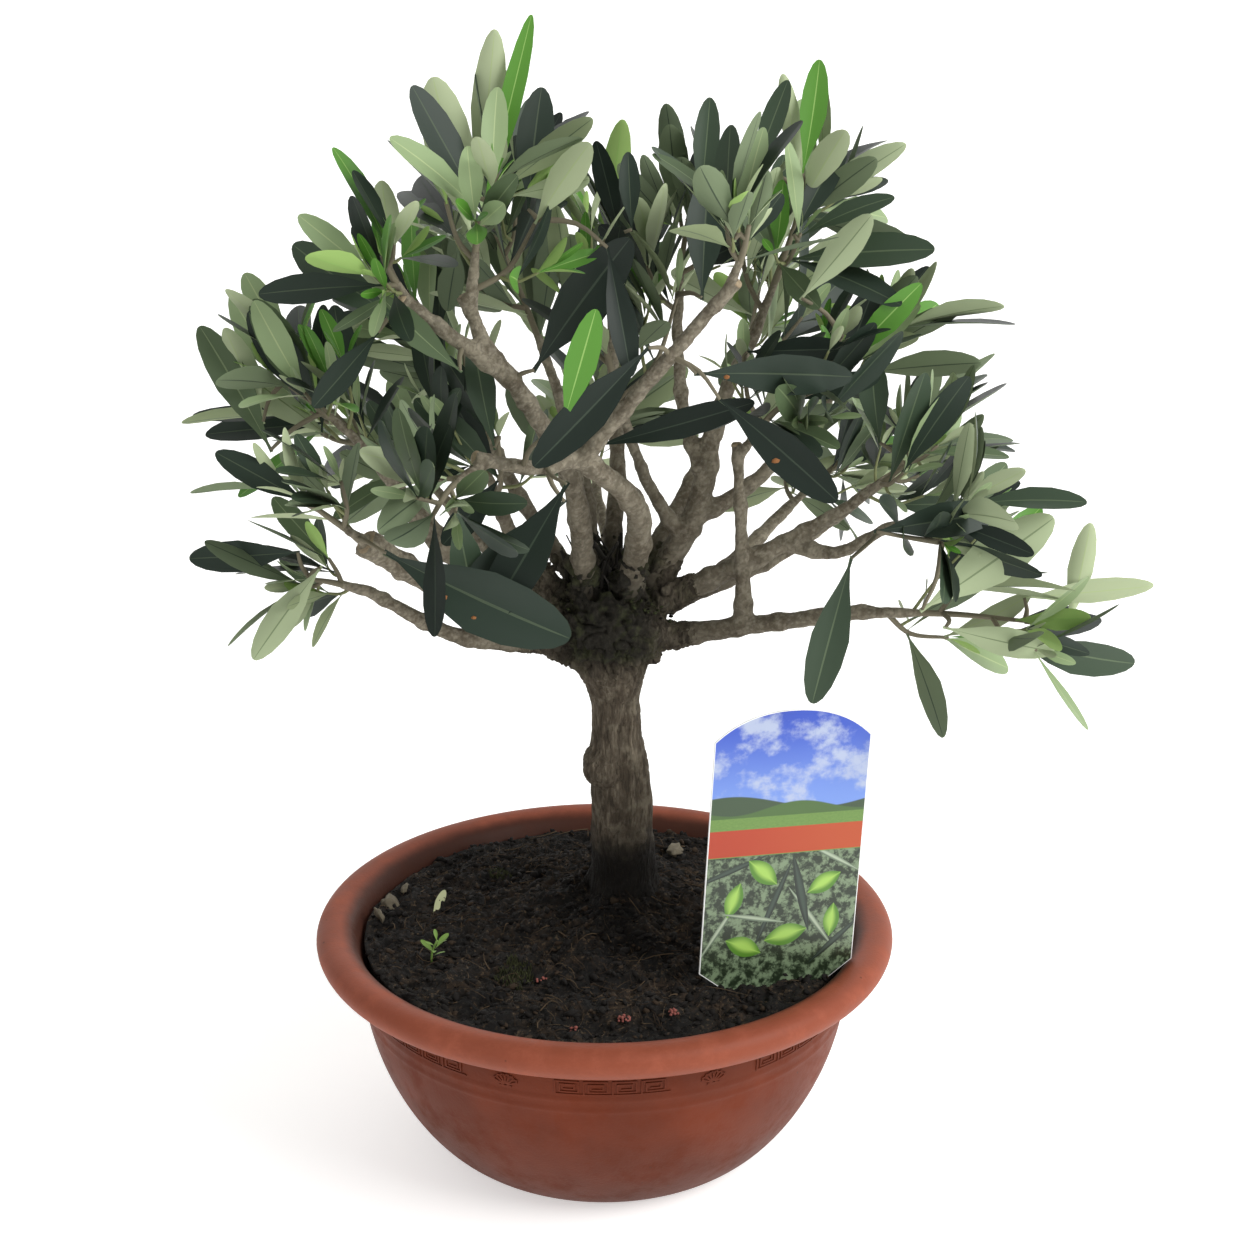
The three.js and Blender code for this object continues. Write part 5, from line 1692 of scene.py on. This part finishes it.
def grown_crown():
    """Every spray of the crown, grown in its own cell."""
    sprays = [Spray(name) for name in SPRAYS]
    cells = [spray.cell for spray in sprays]
    for cell in cells:
        cell.meet(cells)
    limbs = []
    for name, (*_, seat_radius, tip_radius) in BOUGHS.items():
        steps = TWIG["bough_steps"]
        limbs += stretches(bough_curve(name), steps, lambda a: lerp(seat_radius, tip_radius, a))
    for spray in sprays:
        spray.grow(limbs)
    return sprays


OLD_KINDS = (("dark", 0.38), ("deep", 0.66), ("olive", 0.84))  # shares, added up; the rest are grey


def leaf_kind(draw, youth, along):
    """Old leaves are dark; the young ones towards a twig's end are paler or bright."""
    young = draw() < youth * along ** 1.3 * 0.85
    if young:
        return "fresh" if draw() < 0.25 else "pale"
    share = draw()
    for kind, limit in OLD_KINDS:
        if share < limit:
            return kind
    return "grey"


def seen_at(across, down, depth):
    """The place, at a depth, that the stage's camera sees at a pixel of its frame."""
    camera, half = Vector(CAMERA["place"]), CAMERA["pixels"] / 2
    pitch, focal = math.radians(CAMERA["pitch"]), CAMERA["focal_pixels"]
    ahead = Vector((0, math.cos(pitch), -math.sin(pitch)))
    upward = Vector((0, math.sin(pitch), math.cos(pitch)))
    ray = ahead + Vector((1, 0, 0)) * ((across - half) / focal) - upward * ((down - half) / focal)
    return camera + ray * ((depth - camera.y) / ray.y)


STALK = 0.07  # of a blade's length


def leaf_outline(along):
    """Half the blade's width along it: a short stalk, a tapering base and a blunt, rounded tip."""
    if along < STALK:
        return 0.1
    share = (along - STALK) / (1 - STALK)
    taper = 0.3 + 0.7 * ease(share, -0.1, 0.5)
    return max(0.08, taper * math.sin(math.pi * share ** 1.18) ** 0.47)


class LeafMaker:
    """Bends the one leaf form into each blade of the crown."""

    THICKNESS, SICKLE = 0.011, 0.11  # shares of a blade's length
    TWIST = 0.7  # radians

    def __init__(self, settings):
        self.form = unit_leaf()
        self.curl, self.fold = settings.curl, settings.fold
        self.widths = np.array([leaf_outline(y) for y in self.form.places[:, 1]])

    def places(self, blade, draw, breadth=1.0):
        x, y, z = self.form.places.T
        half = breadth * blade.length * LEAF["breadth"] / 2 * lerp(0.74, 1.0, draw())
        thick = blade.length * self.THICKNESS
        curl = self.curl * lerp(-0.5, 1.6, draw())
        sickle = self.SICKLE * (draw() - 0.5)
        twist = self.TWIST * (draw() - 0.5)
        fold = self.fold * lerp(0.3, 1.3, draw())
        wide = x * self.widths * half
        lift = fold * np.abs(wide) * np.sin(np.pi * np.clip(y, 0, 1)) ** 0.5
        depth = lift + z * thick * np.sqrt(self.widths)
        turn = twist * y
        across = wide * np.cos(turn) - depth * np.sin(turn) + sickle * blade.length * y * y
        out = wide * np.sin(turn) + depth * np.cos(turn) - curl * blade.length * y ** 2.2
        along = blade.length * (y - 0.35 * curl * curl * y ** 3)
        side = blade.direction.cross(blade.face).normalized()
        frame_rows = np.array([side, blade.direction, blade.face])
        return np.array(blade.root) + np.stack((across, along, out), axis=1) @ frame_rows


class OLIVE_OT_foliage(bpy.types.Operator):
    """Grow twigs and leaves on from the boughs"""

    bl_idname = "olive.foliage"
    bl_label = "Twigs and leaves"

    def execute(self, context):
        settings = context.scene.olive_foliage
        sprays = grown_crown()
        nodes = [f"spray_{name}" for name in SPRAYS]
        maker = LeafMaker(settings)
        heaps = {kind: Heap() for kind in LEAF_KINDS}
        twig_heap, rod, fine_rod = Heap(), unit_rod(8, 12), unit_rod(6, 8)
        for spray in sprays:
            draw = seeded(spray.seed + SEEDS["kinds"])
            for blade, along in zip(spray.blades, spray.stations):
                kind = leaf_kind(draw, spray.youth, along)
                heaps[kind].add(maker.form, maker.places(blade, draw))
            for twig in spray.twigs:
                twig_heap.add(rod, swept(rod, twig.curve, twig.radius_at), 0)
            for sprig in spray.sprigs:
                twig_heap.add(fine_rod, swept(fine_rod, sprig.curve, sprig.radius_at), 1)
            for twig in spray.twigs + spray.sprigs:
                self.add_bud(heaps["fresh" if draw() < spray.youth else "pale"], maker, twig, draw)
        self.add_leading_leaves(sprays, heaps, twig_heap, maker)
        for kind, heap in heaps.items():
            settle(f"leaves_{kind}", heap.mesh(f"leaves_{kind}"), leaf_finishes(kind), nodes)
        finishes = [
            plain("twig_bark", settings.twig, 0.85),
            plain("twig_shoot", settings.shoot, 0.7),
        ]
        settle("twigs", twig_heap.mesh("twigs"), finishes, nodes)
        return {"FINISHED"}

    def add_leading_leaves(self, sprays, heaps, twig_heap, maker):
        """The foremost leaves, each on a short twig from the nearest bough or twig."""
        draw, rod = seeded(SEEDS["leading"]), unit_rod(6, 6)
        carriers = [bough_curve(name) for name in BOUGHS]
        carriers += [twig.curve for spray in sprays for twig in spray.twigs]
        joints = [(curve.at(i / 8), curve.heading(i / 8)) for curve in carriers for i in range(9)]
        rust, spot = Heap(), unit_ball(1)
        for name, (kind, root, tip, breadth) in LEADING_LEAVES.items():
            root, tip = seen_at(*root), seen_at(*tip)
            direction = (tip - root).normalized()
            joint, heading = min(joints, key=lambda pair: (pair[0] - root).length)
            middle = joint.lerp(root, 0.5) + heading * 0.12 * (root - joint).length
            if (root - joint).length > 2:
                stalk = Curve([joint, middle, root + direction])
                twig_heap.add(rod, swept(rod, stalk, lambda along: lerp(1.3, 0.7, along)), 0)
            towards = Vector((0.25 * (draw() - 0.5), -1, 0.5 * draw()))
            face = (towards - direction * towards.dot(direction)).normalized()
            blade = Blade(root, direction, face, (tip - root).length * LEADING_SIZE)
            if kind in ("pale", "grey") and draw() < 0.6:
                blade = Blade(root, direction, -face, blade.length)
            places = maker.places(blade, draw, breadth)
            heaps[kind].add(maker.form, places)
            for along in RUSTED.get(name, ()):
                nearest = np.abs(maker.form.places - np.array((0.55, along, 0))).sum(axis=1).argmin()
                size = lerp(1.2, 2.3, draw()) * np.array((1, 0.3, 0.7))
                rust.add(spot, spot.places * size + places[nearest])
        finishes = [plain("rust_spot", tint("8a5a30"), 0.85)]
        settle("rust_spots", rust.mesh("rust_spots"), finishes)

    def add_bud(self, heap, maker, twig, draw):
        """A pair of small young leaves at the end of a twig."""
        tip, heading = twig.curve.at(LEAF["last"]), twig.curve.heading(LEAF["last"])
        for half in range(2):
            side = square_to(heading, twig.phase + math.pi * half)
            direction = (heading + side * lerp(0.15, 0.4, draw())).normalized()
            face = (heading - direction * heading.dot(direction)).normalized()
            length = LEAF["length"] * FINE["bud"] * lerp(0.5, 1.0, draw())
            heap.add(maker.form, maker.places(Blade(tip, direction, face, length), draw))


class OLIVE_OT_sprout(bpy.types.Operator):
    """Plant the weed seedling and lay the fallen leaf on the soil"""

    bl_idname = "olive.sprout"
    bl_label = "Seedling and fallen leaf"

    def execute(self, context):
        draw = seeded(SEEDS["seedling"])
        maker = LeafMaker(context.scene.olive_foliage)
        heap, rod = Heap(), unit_rod(5, 5)
        x, y = SPROUT
        foot = Vector((x, y, soil_height(x, y) - 1))
        top = foot + Vector((3, -1, 12))
        stalk = Curve([foot, foot.lerp(top, 0.5) + Vector((-1, 0, 0)), top])
        heap.add(rod, swept(rod, stalk, lambda along: 0.5), 0)
        for leaf in range(7):
            place = foot.lerp(top, 0.35 + 0.1 * leaf)
            angle = leaf * GOLDEN_ANGLE
            direction = Vector((math.cos(angle), math.sin(angle), 0.55)).normalized()
            face = (UP - direction * direction.z).normalized()
            blade = Blade(place, direction, face, lerp(5, 10, draw()))
            heap.add(maker.form, maker.places(blade, draw))
        x, y = FALLEN_LEAF
        direction = Vector((0.35, 0.75, 0.55)).normalized()
        face = (Vector((0, -1, 0)) + direction * direction.y).normalized()
        place = Vector((x, y, soil_height(x, y) - 2))
        heap.add(maker.form, maker.places(Blade(place, direction, face, 17), draw), 1)
        finishes = [
            plain("weed", tint("6f8f3f"), 0.6),
            plain("fallen", tint("c3c79a"), 0.7),
            plain("weed_rib", tint("90ad5a"), 0.6),
        ]
        settle("seedling", heap.mesh("seedling"), finishes)
        return {"FINISHED"}


# ---------------------------------------------------------------- stage

CAMERA = {"place": (7.2, -810, 502), "pitch": 17.05, "pixels": 1240, "focal_pixels": 1882}
FLOOR = {  # in metres
    "half_width": 3.0, "front": -2.2, "back": 1.6, "bend": 0.6, "height": 2.6, "bend_steps": 12,
}


def floor_mesh():
    """A floor that curves up into a backdrop behind the plant."""
    shape = bmesh.new()
    bend, steps = FLOOR["bend"], FLOOR["bend_steps"]
    route = [(FLOOR["front"], 0.0), (FLOOR["back"] - bend, 0.0)]
    for i in range(1, steps + 1):
        angle = i / steps * math.pi / 2
        route.append((FLOOR["back"] - bend + bend * math.sin(angle), bend * (1 - math.cos(angle))))
    route.append((FLOOR["back"], FLOOR["height"]))
    verts = [shape.verts.new((-FLOOR["half_width"], y, z)) for y, z in route]
    edges = [shape.edges.new(pair) for pair in zip(verts, verts[1:])]
    swept_out = bmesh.ops.extrude_edge_only(shape, edges=edges)["geom"]
    far = [item for item in swept_out if isinstance(item, bmesh.types.BMVert)]
    bmesh.ops.translate(shape, verts=far, vec=(2 * FLOOR["half_width"], 0, 0))
    return smooth_mesh(shape, "floor")


def soft_light(name, place, target, size, power):
    light = bpy.data.lights.new(name, "AREA")
    light.energy = power
    light.shape = "DISK"
    light.size = size
    lamp = bpy.data.objects.new(name, light)
    lamp.location = place
    lamp.rotation_euler = (Vector(target) - Vector(place)).to_track_quat("-Z", "Y").to_euler()
    bpy.context.scene.collection.objects.link(lamp)


class OLIVE_OT_stage(bpy.types.Operator):
    """Set up the pale floor, the soft lights and the camera"""

    bl_idname = "olive.stage"
    bl_label = "Stage"

    def execute(self, context):
        scene, settings = context.scene, context.scene.olive_stage
        mesh = floor_mesh()
        glow = {"emission_color": (1, 1, 1), "emission_strength": settings.floor_glow}
        mesh.materials.append(plain("floor_paper", settings.floor, 0.9, specular_ior_level=0.1, **glow))
        floor = bpy.data.objects.new("floor", mesh)
        scene.collection.objects.link(floor)
        middle = (0, 0, 0.28)
        soft_light("key", (1.25, -0.75, 1.15), middle, 1.1, settings.key_power)
        soft_light("fill", (-1.1, -1.1, 1.3), middle, 1.4, settings.fill_power)
        world = bpy.data.worlds.new("studio")
        world.use_nodes = True
        backdrop = world.node_tree.nodes["Background"]
        backdrop.inputs["Color"].default_value = (1, 1, 1, 1)
        light_path = world.node_tree.nodes.new("ShaderNodeLightPath")
        seen = world.node_tree.nodes.new("ShaderNodeMath")
        seen.operation = "MAXIMUM"
        seen.inputs[1].default_value = settings.sky_strength
        world.node_tree.links.new(light_path.outputs["Is Camera Ray"], seen.inputs[0])
        world.node_tree.links.new(seen.outputs[0], backdrop.inputs["Strength"])
        scene.world = world
        scene.view_settings.view_transform = "Standard"
        lens = bpy.data.cameras.new("camera")
        lens.sensor_width = 36
        lens.lens = 36 * CAMERA["focal_pixels"] / CAMERA["pixels"]
        camera = bpy.data.objects.new("camera", lens)
        camera.location = Vector(CAMERA["place"]) * MM
        camera.rotation_euler = (math.radians(90 - CAMERA["pitch"]), 0, 0)
        scene.collection.objects.link(camera)
        scene.camera = camera
        return {"FINISHED"}


# ---------------------------------------------------------------- the add-on

OPERATORS = (
    OLIVE_OT_stage, OLIVE_OT_bowl, OLIVE_OT_band, OLIVE_OT_soil, OLIVE_OT_litter, OLIVE_OT_sprout,
    OLIVE_OT_card, OLIVE_OT_trunk, OLIVE_OT_head_crust, OLIVE_OT_boughs, OLIVE_OT_foliage,
)


class OLIVE_PT_plant(bpy.types.Panel):
    """Everything that the plant in its pot is made of"""

    bl_idname = "OLIVE_PT_plant"
    bl_label = "Potted olive tree"
    bl_space_type = "VIEW_3D"
    bl_region_type = "UI"
    bl_category = "Olive tree"

    def draw(self, context):
        for operator in OPERATORS:
            self.layout.operator(operator.bl_idname)
        for name, group in SETTINGS.items():
            box = self.layout.box()
            for field in group.__annotations__:
                box.prop(getattr(context.scene, name), field)


CLASSES = (*SETTINGS.values(), *OPERATORS, OLIVE_PT_plant)


def register():
    for each in CLASSES:
        bpy.utils.register_class(each)
    for name, group in SETTINGS.items():
        setattr(bpy.types.Scene, name, bpy.props.PointerProperty(type=group))


def unregister():
    for name in SETTINGS:
        delattr(bpy.types.Scene, name)
    for each in reversed(CLASSES):
        bpy.utils.unregister_class(each)


def main():
    register()
    for operator in OPERATORS:
        family, name = operator.bl_idname.split(".")
        getattr(getattr(bpy.ops, family), name)()


if __name__ == "__main__":
    main()
